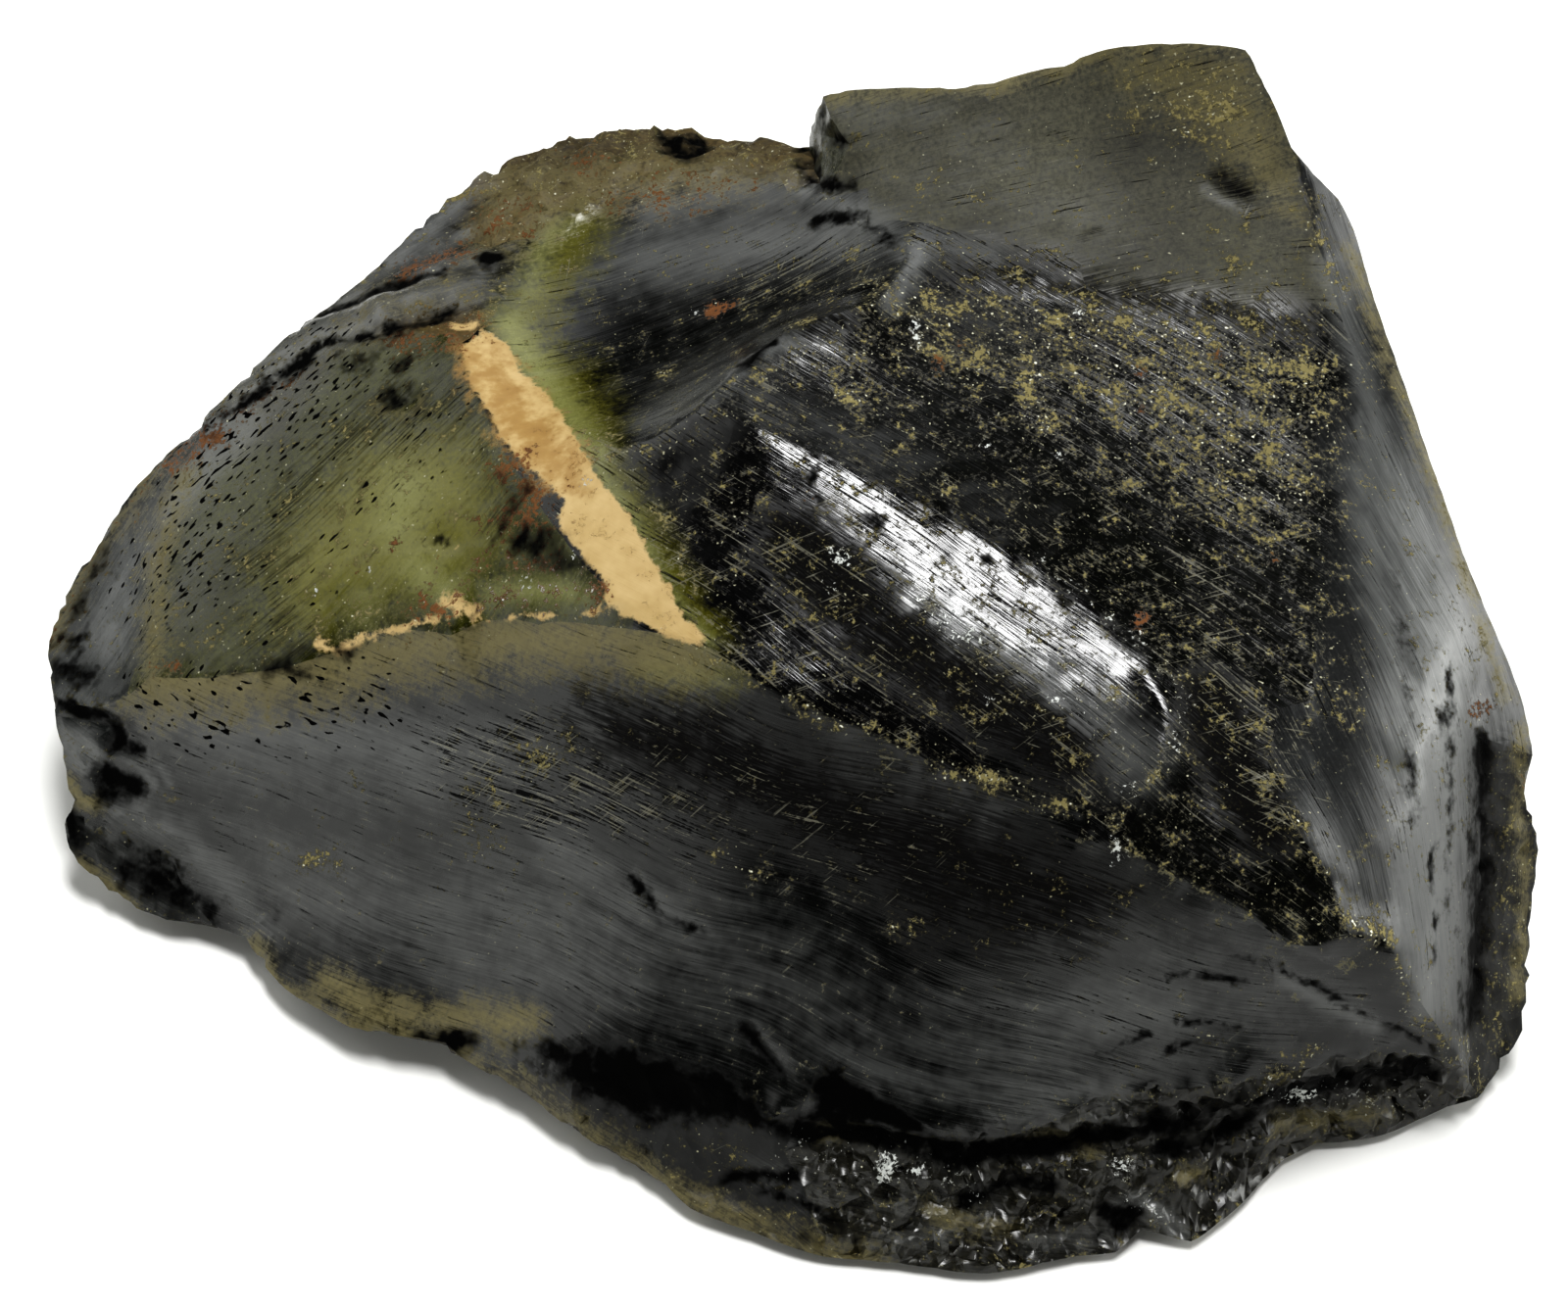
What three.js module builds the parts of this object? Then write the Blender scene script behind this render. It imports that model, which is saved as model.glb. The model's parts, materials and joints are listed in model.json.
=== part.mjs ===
// A chunk of slag glass, one broken piece, lying on its single flat face.
// Millimetres, +Z up, the longest side along X, the low broken front towards -Y.
//
// The lump is drawn as fracture faces that meet in ridges. Every ridge is a curve through a few
// corners, and two faces share it. Each face is then filled with a skin of small triangles that
// hangs between its ridges like a soap film and is pushed in (a conchoidal dish) or out (a crown).
import * as THREE from "three";

// ---- Driving dimensions ------------------------------------------------------------------
const SKIN_STEP = 2.5; // side of a triangle of the skin
const RIDGE_WANDER = 0.1; // how far a ridge point strays from its smooth curve
const SEED_WANDER = 0.2; // how far an inner point strays, as a part of SKIN_STEP
const RIDGE_MARGIN = 0.62; // inner points stay this part of SKIN_STEP away from a ridge
const FILM_PASSES = 320; // sweeps that settle the film of one face
const FLIP_PASSES = 80; // most sweeps that even out the triangles of one face
const ROLL_PASSES = 10; // sweeps that round a soft ridge over
const ROLL_SHARE = 0.5; // part of the way to its neighbours' middle that a point moves in a sweep
const WEAKEST_PULL = -1; // least pull that a very wide angle gives a tie of the film
const FIRST_TIE = 1e-3; // strength that every tie of the film starts from
const TINY = 1e-6; // below this, a length or an angle counts as nothing
const HEART = new THREE.Vector3(0, -17, 16); // a point deep in the lump, which every face looks away from

// The drawing board leans back by 45 degrees and its middle stands at BOARD_MIDDLE. The eye looks
// squarely at it from EYE_DISTANCE, so a corner is given by its place on the board (across, up) and
// by its own height above the ground.
const BOARD_LEAN = Math.PI / 4;
const BOARD_MIDDLE = new THREE.Vector3(0, -22, 22);
const EYE_DISTANCE = 248.4;

// ---- Places ------------------------------------------------------------------------------
const boardUp = new THREE.Vector3(0, Math.sin(BOARD_LEAN), Math.cos(BOARD_LEAN));
const eye = new THREE.Vector3(0, -Math.cos(BOARD_LEAN), Math.sin(BOARD_LEAN))
  .multiplyScalar(EYE_DISTANCE)
  .add(BOARD_MIDDLE);

// The point at a height that the eye sees at a place on the board.
function sighted([across, up, height]) {
  const onBoard = BOARD_MIDDLE.clone().addScaledVector(boardUp, up);
  onBoard.x += across;
  const along = (eye.z - height) / (eye.z - onBoard.z);
  return eye.clone().lerp(onBoard, along);
}

// Corners on the seen side: across, up, height.
const seenCorners = {
  leftTip: [-49.5, 0.3, 12],
  browCorner: [-41, 13.8, 20],
  browStep: [-28.8, 24.7, 27.3],
  browEnd: [-19.5, 32.4, 30.7],
  crustEnd: [1.6, 34.2, 33.8],
  blockLeft: [2.6, 37.4, 39.5],
  blockRight: [31, 40.6, 46.8],
  shoulder: [48, 0.8, 23.2],
  notch: [49.7, -9.4, 16.2],
  rightFoot: [46.6, -29.9, 0.8],
  claw: [27.4, -39.7, 0.8],
  clawGap: [24, -38.7, 1.2],
  frontFoot: [2.6, -40.6, 0.8],
  rimStart: [-17.6, -29.4, 2.6],
  rimNick: [-21, -27.6, 2.7],
  hollowEnd: [-36.2, -19.1, 2.3],
  hollowTip: [-48.4, -11.5, 5.2],
  chipLow: [-48, -9.9, 6.6],
  chipHigh: [-49, -4.2, 10.4],
  stripEnd: [-49.2, -2.7, 11.3],
  oliveHigh: [-40.7, 12.1, 20.3],
  oliveLow: [-42.5, -1.6, 15],
  stripeLow: [-5.5, 0.8, 29.6],
  stripeHigh: [-21.8, 20.7, 31],
  rimFork: [-28, 21.2, 28.1],
  tanFork: [-19.2, 23, 31],
  crustFork: [-21, 27.6, 30],
  scoopFork: [-17.9, 26.5, 31],
  step: [2.4, 31.5, 35.4],
  blockWaist: [4.3, 34.1, 38.6],
  saddle: [8.3, 27.2, 38],
  lipEnd: [29.7, 24.6, 37],
  blockFoot: [37.3, 23, 35.9],
  bandStart: [-4.8, 17.1, 36.6],
  bandEnd: [26, -4.6, 28],
  slateApex: [22.4, -12.9, 23.2],
  rollEnd: [33.5, -10.7, 25.5],
  rightApex: [40.1, -19, 18.2],
  rightCorner: [45.6, -27.8, 5.8],
  scoopTail: [-14.3, 15.2, 32.4],
  stripeMid: [-19.2, 14.4, 31.3],
  sillPeak: [3, -28, 10.6],
  sillRight: [5.9, -29.9, 9],
  sillLeft: [-1.1, -31.4, 7.4],
  sillMid: [17.4, -31.9, 7.4],
};

// Corners on the back, the right side and the base: x, y, z.
const hiddenCorners = {
  backLeftLow: [-27, 21, 13],
  backRightLow: [19, 29, 18],
  sideLow: [38, 19, 14],
  baseTip: [-45, -13, 0],
  baseBackLeft: [-25, 17, 0],
  baseBackRight: [16, 26, 0],
  baseSide: [35, 16, 0],
  baseFoot: [44, -40.5, 0],
};

// Ridges on the seen side: first corner, last corner, then the points between (across, up, height).
const seenRidges = {
  tipBrow: ["leftTip", "browCorner", [-47.9, 4.5, 13.5], [-45.8, 7.9, 15.5], [-43.9, 10.8, 17.5],
    [-42.3, 12.7, 19]],
  brow: ["browCorner", "browStep", [-39.1, 15.2, 21.5], [-35.8, 18.5, 23.8], [-32.9, 21.7, 25.5]],
  browUpper: ["browStep", "browEnd", [-24.5, 28.5, 29], [-21.2, 31.3, 30]],
  crustTop: ["browEnd", "crustEnd", [-16.1, 34.2, 31.5], [-11.8, 35.1, 32.2], [-7.9, 35.3, 32.5],
    [-3.5, 34.6, 33]],
  blockEnd: ["crustEnd", "blockLeft", [1.9, 35.8, 36.8]],
  blockTop: ["blockLeft", "blockRight", [5.4, 38, 41], [12.1, 38, 42.5], [15.1, 38.8, 43.3],
    [18.6, 39.5, 44.5], [21.6, 40.5, 46], [27.2, 41, 47]],
  rightTop: ["blockRight", "shoulder", [32.9, 36.7, 44.5], [34.5, 33.2, 42], [36.8, 31.2, 40],
    [37.9, 29.7, 38.8], [39.6, 24.1, 35.5], [43.2, 13.7, 30.2], [46.6, 4.1, 25.2]],
  rightMid: ["shoulder", "notch", [49.3, -2.5, 21], [50.4, -6.8, 18.2], [50.3, -8.6, 17]],
  rightLow: ["notch", "rightFoot", [50.4, -11.4, 14], [50.6, -15.7, 10], [50.2, -18.6, 7.5],
    [50.1, -23, 5], [49.3, -25.9, 3]],
  lowRight: ["rightFoot", "claw", [43.1, -31.1, 0.8], [39.5, -32.8, 0.8], [35.5, -33, 0.8],
    [32.7, -34.8, 0.8], [30.4, -37.3, 0.8]],
  clawSide: ["claw", "clawGap", [25.6, -38.6, 1.2]],
  lowFront: ["clawGap", "frontFoot", [22.4, -40.2, 0.8], [18.9, -40.7, 0.8], [14.3, -41.8, 0.8],
    [10.5, -41.5, 0.8], [6.8, -40.9, 0.8]],
  lowLeft: ["frontFoot", "rimStart", [-1.3, -39.3, 1], [-6.6, -37.1, 1.4], [-9, -34.9, 1.8],
    [-13, -32.8, 2.2]],
  rimShort: ["rimStart", "rimNick", [-19.4, -28.4, 2.7]],
  rimLong: ["rimNick", "hollowEnd", [-21.4, -26.8, 3.2], [-26.1, -25.9, 3], [-29.9, -24.9, 2.8],
    [-32.6, -23.2, 2.5], [-34.5, -21.9, 2.4], [-35.3, -20.4, 2.3]],
  hollowLow: ["hollowEnd", "hollowTip", [-38.4, -18.4, 2], [-40.9, -18.1, 1.9], [-43.6, -17.3, 1.9],
    [-45.2, -16.2, 2.2], [-47.3, -14.4, 3.2], [-48.3, -13.1, 4.2]],
  hollowSide: ["hollowTip", "chipLow"],
  chipSide: ["chipLow", "chipHigh", [-48.1, -7.7, 8.2], [-48.6, -6.7, 9]],
  tipNotch: ["chipHigh", "stripEnd"],
  tipSide: ["stripEnd", "leftTip"],
  oliveLeft: ["oliveHigh", "oliveLow", [-41.8, 8, 18.6], [-42.4, 5, 17.3], [-42.6, 1.7, 16.2]],
  browShort: ["oliveHigh", "browCorner"],
  stripFoot: ["oliveLow", "stripEnd", [-45.6, -3.8, 12.6]],
  oliveRim: ["oliveHigh", "rimFork", [-38.9, 14.4, 21.6], [-35.9, 16.7, 23.6], [-32, 19.1, 26]],
  tanLow: ["rimFork", "stripeHigh", [-25.6, 21.4, 29.3], [-23.9, 21.6, 30]],
  tanHigh: ["rimFork", "tanFork", [-24.3, 22.4, 29.6]],
  tanEnd: ["tanFork", "stripeHigh"],
  stripSplit: ["browStep", "rimFork", [-28.1, 23.1, 27.8]],
  crustLine: ["browStep", "crustFork", [-26.3, 25.6, 28.3], [-23.3, 26.8, 29.3]],
  crustLeft: ["browEnd", "crustFork", [-20.3, 30.7, 30.5]],
  crustFoot: ["crustFork", "scoopFork"],
  scoopLeft: ["scoopFork", "tanFork"],
  scoopTop: ["scoopFork", "step", [-16.6, 28.6, 31.6], [-11.8, 29.7, 32.4], [-7.2, 29.6, 33],
    [-5.1, 29.8, 33.4], [-2.3, 30.4, 34], [0.9, 31.3, 34.9]],
  crustRight: ["crustEnd", "step"],
  ledge: ["step", "saddle", [3.3, 29.7, 36], [4.9, 29, 36.6]],
  scoopUpper: ["saddle", "bandStart", [6.6, 24, 38.1], [4.7, 23.1, 38.2], [2, 22.3, 38],
    [-0.4, 21.5, 37.8], [-1.6, 20.5, 37.5]],
  scoopLower: ["bandStart", "scoopTail", [-6.5, 15.7, 35.8], [-9.1, 14, 34.8], [-10.6, 13.8, 34.2],
    [-12.8, 14.7, 33]],
  stripeCross: ["scoopTail", "stripeMid"],
  stripeUpper: ["stripeHigh", "stripeMid", [-20.6, 17.4, 31.2]],
  stripeLower: ["stripeMid", "stripeLow", [-18.4, 12.5, 31.2], [-16.8, 10.8, 31], [-15.5, 8.3, 30.8],
    [-14.3, 7.1, 30.6], [-12.6, 4.8, 30.2], [-10, 2.9, 29.8]],
  oliveFoot: ["oliveLow", "stripeLow", [-39.2, -1.7, 16.4], [-36.5, -1.3, 17.6], [-32.6, -0.8, 19.3],
    [-28.7, 1, 21.2], [-25, 1.6, 23], [-22, 1.3, 24.2], [-19.9, 2.4, 25], [-17.4, 2.1, 26.2],
    [-14.9, 2.1, 27.3], [-10.5, 1.6, 28.8]],
  bandHigh: ["bandStart", "bandEnd", [-1.7, 14.8, 36.3], [3.6, 12.7, 35.5], [7.1, 11, 34.8],
    [10.4, 9.5, 34], [13.6, 7.5, 33.1], [17.2, 5.4, 32.1], [20.4, 3.2, 31], [22.9, 0.4, 29.8],
    [24.5, -1.9, 29]],
  bandLow: ["bandStart", "bandEnd", [-2.6, 12.9, 35.4], [1.6, 9.7, 34.4], [7.1, 6.6, 33.2],
    [10.8, 4.6, 32.3], [14.7, 2.1, 31.1], [17.2, -0.1, 30.2], [21.4, -3, 29]],
  endRidge: ["bandEnd", "slateApex", [24.7, -8.9, 25.8]],
  slateTop: ["stripeLow", "slateApex", [-3, -1.1, 29.3], [0.3, -3.1, 28.4], [4.1, -4.6, 27.5],
    [7.1, -6.1, 26.7], [10.4, -7.7, 25.9], [14.7, -8.5, 25], [16.6, -9.9, 24.3], [19.7, -10.5, 23.7]],
  blackFoot: ["slateApex", "rightApex", [26.3, -15, 22.3], [30.6, -17.3, 21.3], [34.8, -19.9, 19.6],
    [37.8, -19, 19.2]],
  rollFoot: ["rollEnd", "rightApex", [35.6, -13.5, 23.6], [38.2, -16.9, 20]],
  roll: ["blockFoot", "rollEnd", [38.6, 20.4, 34.8], [39.6, 17.3, 33.4], [40.9, 12.9, 31.6],
    [41.4, 8.3, 30], [41.4, 3.1, 28.6], [40.4, -2.2, 27.6], [37.8, -7.1, 26.8]],
  lip: ["saddle", "lipEnd", [11.3, 26.9, 37.8], [15.1, 25.9, 37.5], [18.9, 25, 37.2], [22.6, 24.5, 37],
    [26.4, 24.2, 36.9]],
  lipRight: ["lipEnd", "blockFoot", [32.9, 23.7, 36.6]],
  blockSide: ["blockRight", "blockFoot", [32.7, 35.5, 43.6], [34.7, 31.5, 40.8], [35.5, 28.4, 39.2],
    [36.5, 25.4, 37.4]],
  endHigh: ["blockLeft", "blockWaist", [3.2, 35.9, 39.3]],
  endLow: ["blockWaist", "step", [3.7, 32.5, 37.2]],
  rightEdge: ["shoulder", "rightCorner", [46.4, -3.2, 22.2], [46.9, -9.8, 17.6], [46.6, -17.3, 11.5],
    [46, -24.8, 6.5]],
  corner: ["rightApex", "rightCorner", [41.6, -20.9, 16], [42.5, -23.2, 13], [43.9, -25.2, 10]],
  footCorner: ["rightFoot", "rightCorner"],
  sillRightRun: ["rightCorner", "sillMid", [41, -26.7, 8.6], [36.2, -27.7, 9.4], [31.2, -28.8, 9.6],
    [26.1, -29.3, 9.4], [21.1, -29.6, 9.2]],
  sillFront: ["sillMid", "sillRight", [14.8, -32.6, 7], [11, -32.9, 7], [7.5, -32.3, 7.7]],
  sillPeakRight: ["sillRight", "sillPeak"],
  sillPeakLeft: ["sillPeak", "sillLeft", [1.8, -29.7, 9.3]],
  hollowBrow: ["sillLeft", "rimStart", [-4.7, -29.2, 8.3], [-8.5, -27.7, 8.3], [-13.5, -28.8, 6]],
  hollowCrest: ["hollowEnd", "chipLow", [-37.6, -15.6, 5], [-40, -12.9, 6.6], [-43.4, -10.8, 7.6],
    [-45.7, -10.5, 7.3]],
  chipEdge: ["chipLow", "chipHigh", [-45.6, -8.1, 9.2], [-45.2, -5.1, 11.2]],
  footRidge: ["sillLeft", "frontFoot", [0, -33.8, 5.5], [2, -37.7, 3]],
  clawRidge: ["sillMid", "clawGap", [20.4, -34.1, 5], [22.7, -36.1, 3.6]],
};

// Ridges on the hidden side: first corner, last corner, then the points between (x, y, z).
const hiddenRidges = {
  backLowLeft: ["leftTip", "backLeftLow", [-46, 4, 9], [-38, 14, 10.5]],
  backLowMid: ["backLeftLow", "backRightLow", [-12, 26, 15.5], [3, 29, 14.5]],
  backLowRight: ["backRightLow", "sideLow", [30, 26, 14.5]],
  sideLowRun: ["sideLow", "notch", [45, 6, 11.5], [49.3, -12, 12]],
  backLeftEdge: ["browEnd", "backLeftLow", [-24.5, 21.5, 21]],
  backMidEdge: ["crustEnd", "backRightLow", [8, 24, 28]],
  backRightEdge: ["blockRight", "sideLow", [36, 17, 30]],
  baseTipEdge: ["leftTip", "baseTip", [-50, -11.5, 5]],
  baseSideEdge: ["sideLow", "baseSide", [38.5, 18.5, 6]],
  baseFootEdge: ["rightFoot", "baseFoot"],
  baseLeftRun: ["baseTip", "baseBackLeft", [-40, 0.5, 0], [-31, 11.5, 0]],
  baseBackRun: ["baseBackLeft", "baseBackRight", [-14, 20.5, 0], [0, 24.8, 0]],
  baseRightRun: ["baseBackRight", "baseSide", [26, 22.3, 0]],
  lowLeftEdge: ["backLeftLow", "baseBackLeft", [-26.6, 20, 6]],
  lowRightEdge: ["backRightLow", "baseBackRight", [17, 29, 8]],
  baseRight: ["baseSide", "baseFoot", [44.5, -6, 0], [46.3, -28, 0]],
  baseFront: ["baseFoot", "baseTip", [39, -43.8, 0], [33, -46, 0], [27, -51.5, 0], [23.5, -51.8, 0],
    [13.8, -55.2, 0], [3, -53.4, 0], [-7, -50, 0], [-14, -44.6, 0], [-20, -39, 0], [-33, -29, 0],
    [-43.5, -25, 0], [-46.5, -20, 0]],
};

// Ridges that roll over softly instead of breaking sharply.
const softRidges = ["bandLow", "stripeCross", "roll", "lipRight"];

// Fracture faces: the ridges around each one, and how far its middle is dished in (a minus is a crown).
const faces = {
  olive: [["oliveLeft", "oliveFoot", "stripeLower", "stripeUpper", "tanLow", "oliveRim"], -0.6],
  strip: [["tipBrow", "browShort", "oliveLeft", "stripFoot", "tipSide"], 0.4],
  brow: [["brow", "stripSplit", "oliveRim", "browShort"], 0.3],
  browUpper: [["browUpper", "crustLeft", "crustLine"], 0.4],
  crustStrip: [["crustLine", "crustFoot", "scoopLeft", "tanHigh", "stripSplit"], -0.5],
  tanBand: [["tanLow", "tanEnd", "tanHigh"], -0.3],
  crust: [["crustTop", "crustRight", "scoopTop", "crustFoot", "crustLeft"], -0.8],
  scoop: [["scoopLeft", "scoopTop", "ledge", "scoopUpper", "scoopLower", "stripeCross", "stripeUpper",
    "tanEnd"], 2.7],
  blockEnd: [["blockEnd", "endHigh", "endLow", "crustRight"], 0.5],
  block: [["blockTop", "blockSide", "lipRight", "lip", "ledge", "endLow", "endHigh"], 1.3],
  black: [["bandHigh", "endRidge", "blackFoot", "rollFoot", "roll", "lipRight", "lip", "scoopUpper"], 0.6],
  band: [["bandHigh", "bandLow"], 0],
  streaked: [["stripeCross", "scoopLower", "bandLow", "endRidge", "slateTop", "stripeLower"], -0.3],
  right: [["rightTop", "rightEdge", "corner", "rollFoot", "roll", "blockSide"], -0.8],
  sliver: [["rightMid", "rightLow", "footCorner", "rightEdge"], 0.6],
  slate: [["oliveFoot", "slateTop", "blackFoot", "corner", "sillRightRun", "sillFront", "sillPeakRight",
    "sillPeakLeft", "hollowBrow", "rimShort", "rimLong", "hollowCrest", "chipEdge", "tipNotch",
    "stripFoot"], 0.8],
  chip: [["chipSide", "chipEdge"], 0.5],
  hollow: [["hollowSide", "hollowLow", "hollowCrest"], 1.6],
  footLeft: [["hollowBrow", "footRidge", "lowLeft"], 1.3],
  footFront: [["footRidge", "sillPeakLeft", "sillPeakRight", "sillFront", "clawRidge", "lowFront"], 1.6],
  footRight: [["sillRightRun", "clawRidge", "clawSide", "lowRight", "footCorner"], 1.5],
  backLeft: [["tipBrow", "brow", "browUpper", "backLeftEdge", "backLowLeft"], 1.4],
  backMid: [["crustTop", "backMidEdge", "backLowMid", "backLeftEdge"], 1.6],
  backBlock: [["blockEnd", "blockTop", "backRightEdge", "backLowRight", "backMidEdge"], -1.2],
  backRight: [["rightTop", "rightMid", "sideLowRun", "backRightEdge"], 1.2],
  lowBackLeft: [["backLowLeft", "lowLeftEdge", "baseLeftRun", "baseTipEdge"], -0.7],
  lowBackMid: [["backLowMid", "lowRightEdge", "baseBackRun", "lowLeftEdge"], 0.8],
  lowBackRight: [["backLowRight", "baseSideEdge", "baseRightRun", "lowRightEdge"], -0.4],
  lowRight: [["sideLowRun", "rightLow", "baseFootEdge", "baseRight", "baseSideEdge"], 0.8],
  under: [["baseTipEdge", "baseFront", "baseFootEdge", "lowRight", "clawSide", "lowFront", "lowLeft",
    "rimShort", "rimLong", "hollowLow", "hollowSide", "chipSide", "tipNotch", "tipSide"], 0],
  base: [["baseLeftRun", "baseBackRun", "baseRightRun", "baseRight", "baseFront"], 0],
};

// ---- Steady chance -----------------------------------------------------------------------
const CHANCE_FACTOR = 16807;
const CHANCE_PERIOD = 2147483647;
let chanceState = 20417;

// The next number of a fixed sequence between -1 and 1.
function chance() {
  chanceState = (chanceState * CHANCE_FACTOR) % CHANCE_PERIOD;
  return (2 * chanceState) / CHANCE_PERIOD - 1;
}

// ---- Ridges ------------------------------------------------------------------------------
const points = []; // every corner of the skin, as a Vector3
const cornerIndex = {}; // number of each named corner in points
const ridgeRun = {}; // numbers of the points along each ridge, both ends included
const ridgeEnds = {}; // names of the two corners of each ridge

function addPoint(point) {
  points.push(point);
  return points.length - 1;
}

function addRidge(name, [first, last, ...between], place) {
  const stops = [points[cornerIndex[first]], ...between.map(place), points[cornerIndex[last]]];
  const curve = new THREE.CatmullRomCurve3(stops, false, "centripetal");
  const steps = Math.max(1, Math.round(curve.getLength() / SKIN_STEP));
  const onGround = stops.every((stop) => stop.z === 0);
  const inner = curve.getSpacedPoints(steps).slice(1, -1);
  const run = inner.map((point) => {
    point.x += RIDGE_WANDER * chance();
    point.y += RIDGE_WANDER * chance();
    point.z = onGround ? 0 : point.z + RIDGE_WANDER * chance();
    return addPoint(point);
  });
  ridgeRun[name] = [cornerIndex[first], ...run, cornerIndex[last]];
  ridgeEnds[name] = [first, last];
}

function toVector([x, y, z]) {
  return new THREE.Vector3(x, y, z);
}

for (const [name, spot] of Object.entries(seenCorners)) cornerIndex[name] = addPoint(sighted(spot));
for (const [name, spot] of Object.entries(hiddenCorners)) cornerIndex[name] = addPoint(toVector(spot));
for (const [name, stops] of Object.entries(seenRidges)) addRidge(name, stops, sighted);
for (const [name, stops] of Object.entries(hiddenRidges)) addRidge(name, stops, toVector);

// ---- Outline of one face -----------------------------------------------------------------

// The numbers of the points around a face, its ridges joined end to end.
function loopOf(ridgeNames) {
  const [firstRidge, secondRidge] = ridgeNames;
  let here = ridgeEnds[firstRidge][0];
  if (!ridgeEnds[secondRidge].includes(ridgeEnds[firstRidge][1])) here = ridgeEnds[firstRidge][1];
  const loop = [];
  for (const name of ridgeNames) {
    const [start, end] = ridgeEnds[name];
    if (here !== start && here !== end) throw new Error(`ridge ${name} doesn't start at ${here}`);
    const run = here === start ? ridgeRun[name] : [...ridgeRun[name]].reverse();
    loop.push(...run.slice(0, -1));
    here = here === start ? end : start;
  }
  return loop;
}

const walked = new Set(); // steps along ridges that a finished face has taken, as "from,to"

function stepsOf(loop) {
  return loop.map((index, k) => `${index},${loop[(k + 1) % loop.length]}`);
}

// Whether a loop must be turned round: two faces walk the ridge they share in opposite directions,
// and a face with no finished neighbour looks away from the heart.
function isBackwards(loop, middle, outward) {
  if (stepsOf(loop).some((step) => walked.has(step))) return true;
  if (stepsOf([...loop].reverse()).some((step) => walked.has(step))) return false;
  return outward.dot(middle.clone().sub(HEART)) < 0;
}

// A face's own axes: its middle, its outward direction, and two directions along it.
function frameOf(loop) {
  const middle = new THREE.Vector3();
  const outward = new THREE.Vector3();
  loop.forEach((index, k) => {
    const next = points[loop[(k + 1) % loop.length]];
    middle.addScaledVector(points[index], 1 / loop.length);
    outward.add(new THREE.Vector3().crossVectors(points[index], next));
  });
  outward.normalize();
  if (isBackwards(loop, middle, outward)) {
    outward.negate();
    loop.reverse();
  }
  stepsOf(loop).forEach((step) => walked.add(step));
  const side = new THREE.Vector3(outward.y, -outward.x, 0);
  if (side.lengthSq() < TINY) side.set(1, 0, 0);
  side.normalize();
  return { middle, outward, side, rise: new THREE.Vector3().crossVectors(outward, side) };
}

// ---- Triangles of one face, in its own plane ---------------------------------------------

function crossOf(a, b, c) {
  return (b.x - a.x) * (c.y - a.y) - (b.y - a.y) * (c.x - a.x);
}

function angleAt(spot, a, b) {
  const toA = Math.atan2(a.y - spot.y, a.x - spot.x);
  const toB = Math.atan2(b.y - spot.y, b.x - spot.x);
  const turn = Math.abs(toA - toB);
  return Math.min(turn, 2 * Math.PI - turn);
}

// How far a spot lies inside an outline; a minus is outside.
function depthInside(spot, outline) {
  let inside = false;
  let nearest = Infinity;
  outline.forEach((a, k) => {
    const b = outline[(k + 1) % outline.length];
    const crosses = a.y > spot.y !== b.y > spot.y;
    if (crosses && spot.x < a.x + ((spot.y - a.y) / (b.y - a.y)) * (b.x - a.x)) inside = !inside;
    const run = new THREE.Vector2(b.x - a.x, b.y - a.y);
    const reach = new THREE.Vector2(spot.x - a.x, spot.y - a.y);
    const along = THREE.MathUtils.clamp(reach.dot(run) / run.lengthSq(), 0, 1);
    nearest = Math.min(nearest, reach.addScaledVector(run, -along).length());
  });
  return inside ? nearest : -nearest;
}

// Spots on a loose triangular grid inside an outline.
function seedsInside(outline) {
  const box = new THREE.Box2().setFromPoints(outline.map(({ x, y }) => new THREE.Vector2(x, y)));
  const rowStep = SKIN_STEP * Math.sqrt(3) / 2;
  const seeds = [];
  for (let row = 0; box.min.y + row * rowStep < box.max.y; row += 1) {
    for (let x = box.min.x + (row % 2) * SKIN_STEP / 2; x < box.max.x; x += SKIN_STEP) {
      const seed = {
        x: x + SEED_WANDER * SKIN_STEP * chance(),
        y: box.min.y + row * rowStep + SEED_WANDER * SKIN_STEP * chance(),
        height: 0,
      };
      if (depthInside(seed, outline) > RIDGE_MARGIN * SKIN_STEP) seeds.push(seed);
    }
  }
  return seeds;
}

// Puts a seed in the triangle that holds it, which becomes three.
function plantSeed(spots, triangles, seed) {
  const home = triangles.findIndex(([a, b, c]) =>
    crossOf(spots[a], spots[b], seed) > 0 && crossOf(spots[b], spots[c], seed) > 0
      && crossOf(spots[c], spots[a], seed) > 0);
  if (home < 0) return;
  const [a, b, c] = triangles[home];
  const fresh = spots.push(seed) - 1;
  triangles[home] = [a, b, fresh];
  triangles.push([b, c, fresh], [c, a, fresh]);
}

// Swaps the shared side of two triangles wherever that makes them less thin. Outline sides stay.
function evenOut(spots, triangles) {
  let busy = true;
  for (let pass = 0; busy && pass < FLIP_PASSES; pass += 1) {
    busy = false;
    const owner = new Map();
    triangles.forEach((triangle, t) => {
      triangle.forEach((a, k) => owner.set(`${a},${triangle[(k + 1) % 3]}`, t));
    });
    const done = new Set();
    for (const [side, t] of owner) {
      const [a, b] = side.split(",").map(Number);
      const twin = owner.get(`${b},${a}`);
      if (a > b || twin === undefined || done.has(t) || done.has(twin)) continue;
      const c = triangles[t].find((index) => index !== a && index !== b);
      const d = triangles[twin].find((index) => index !== a && index !== b);
      const facing = angleAt(spots[c], spots[a], spots[b]) + angleAt(spots[d], spots[a], spots[b]);
      if (facing <= Math.PI + TINY) continue;
      triangles[t] = [a, d, c];
      triangles[twin] = [d, b, c];
      done.add(t);
      done.add(twin);
      busy = true;
    }
  }
}

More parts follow.
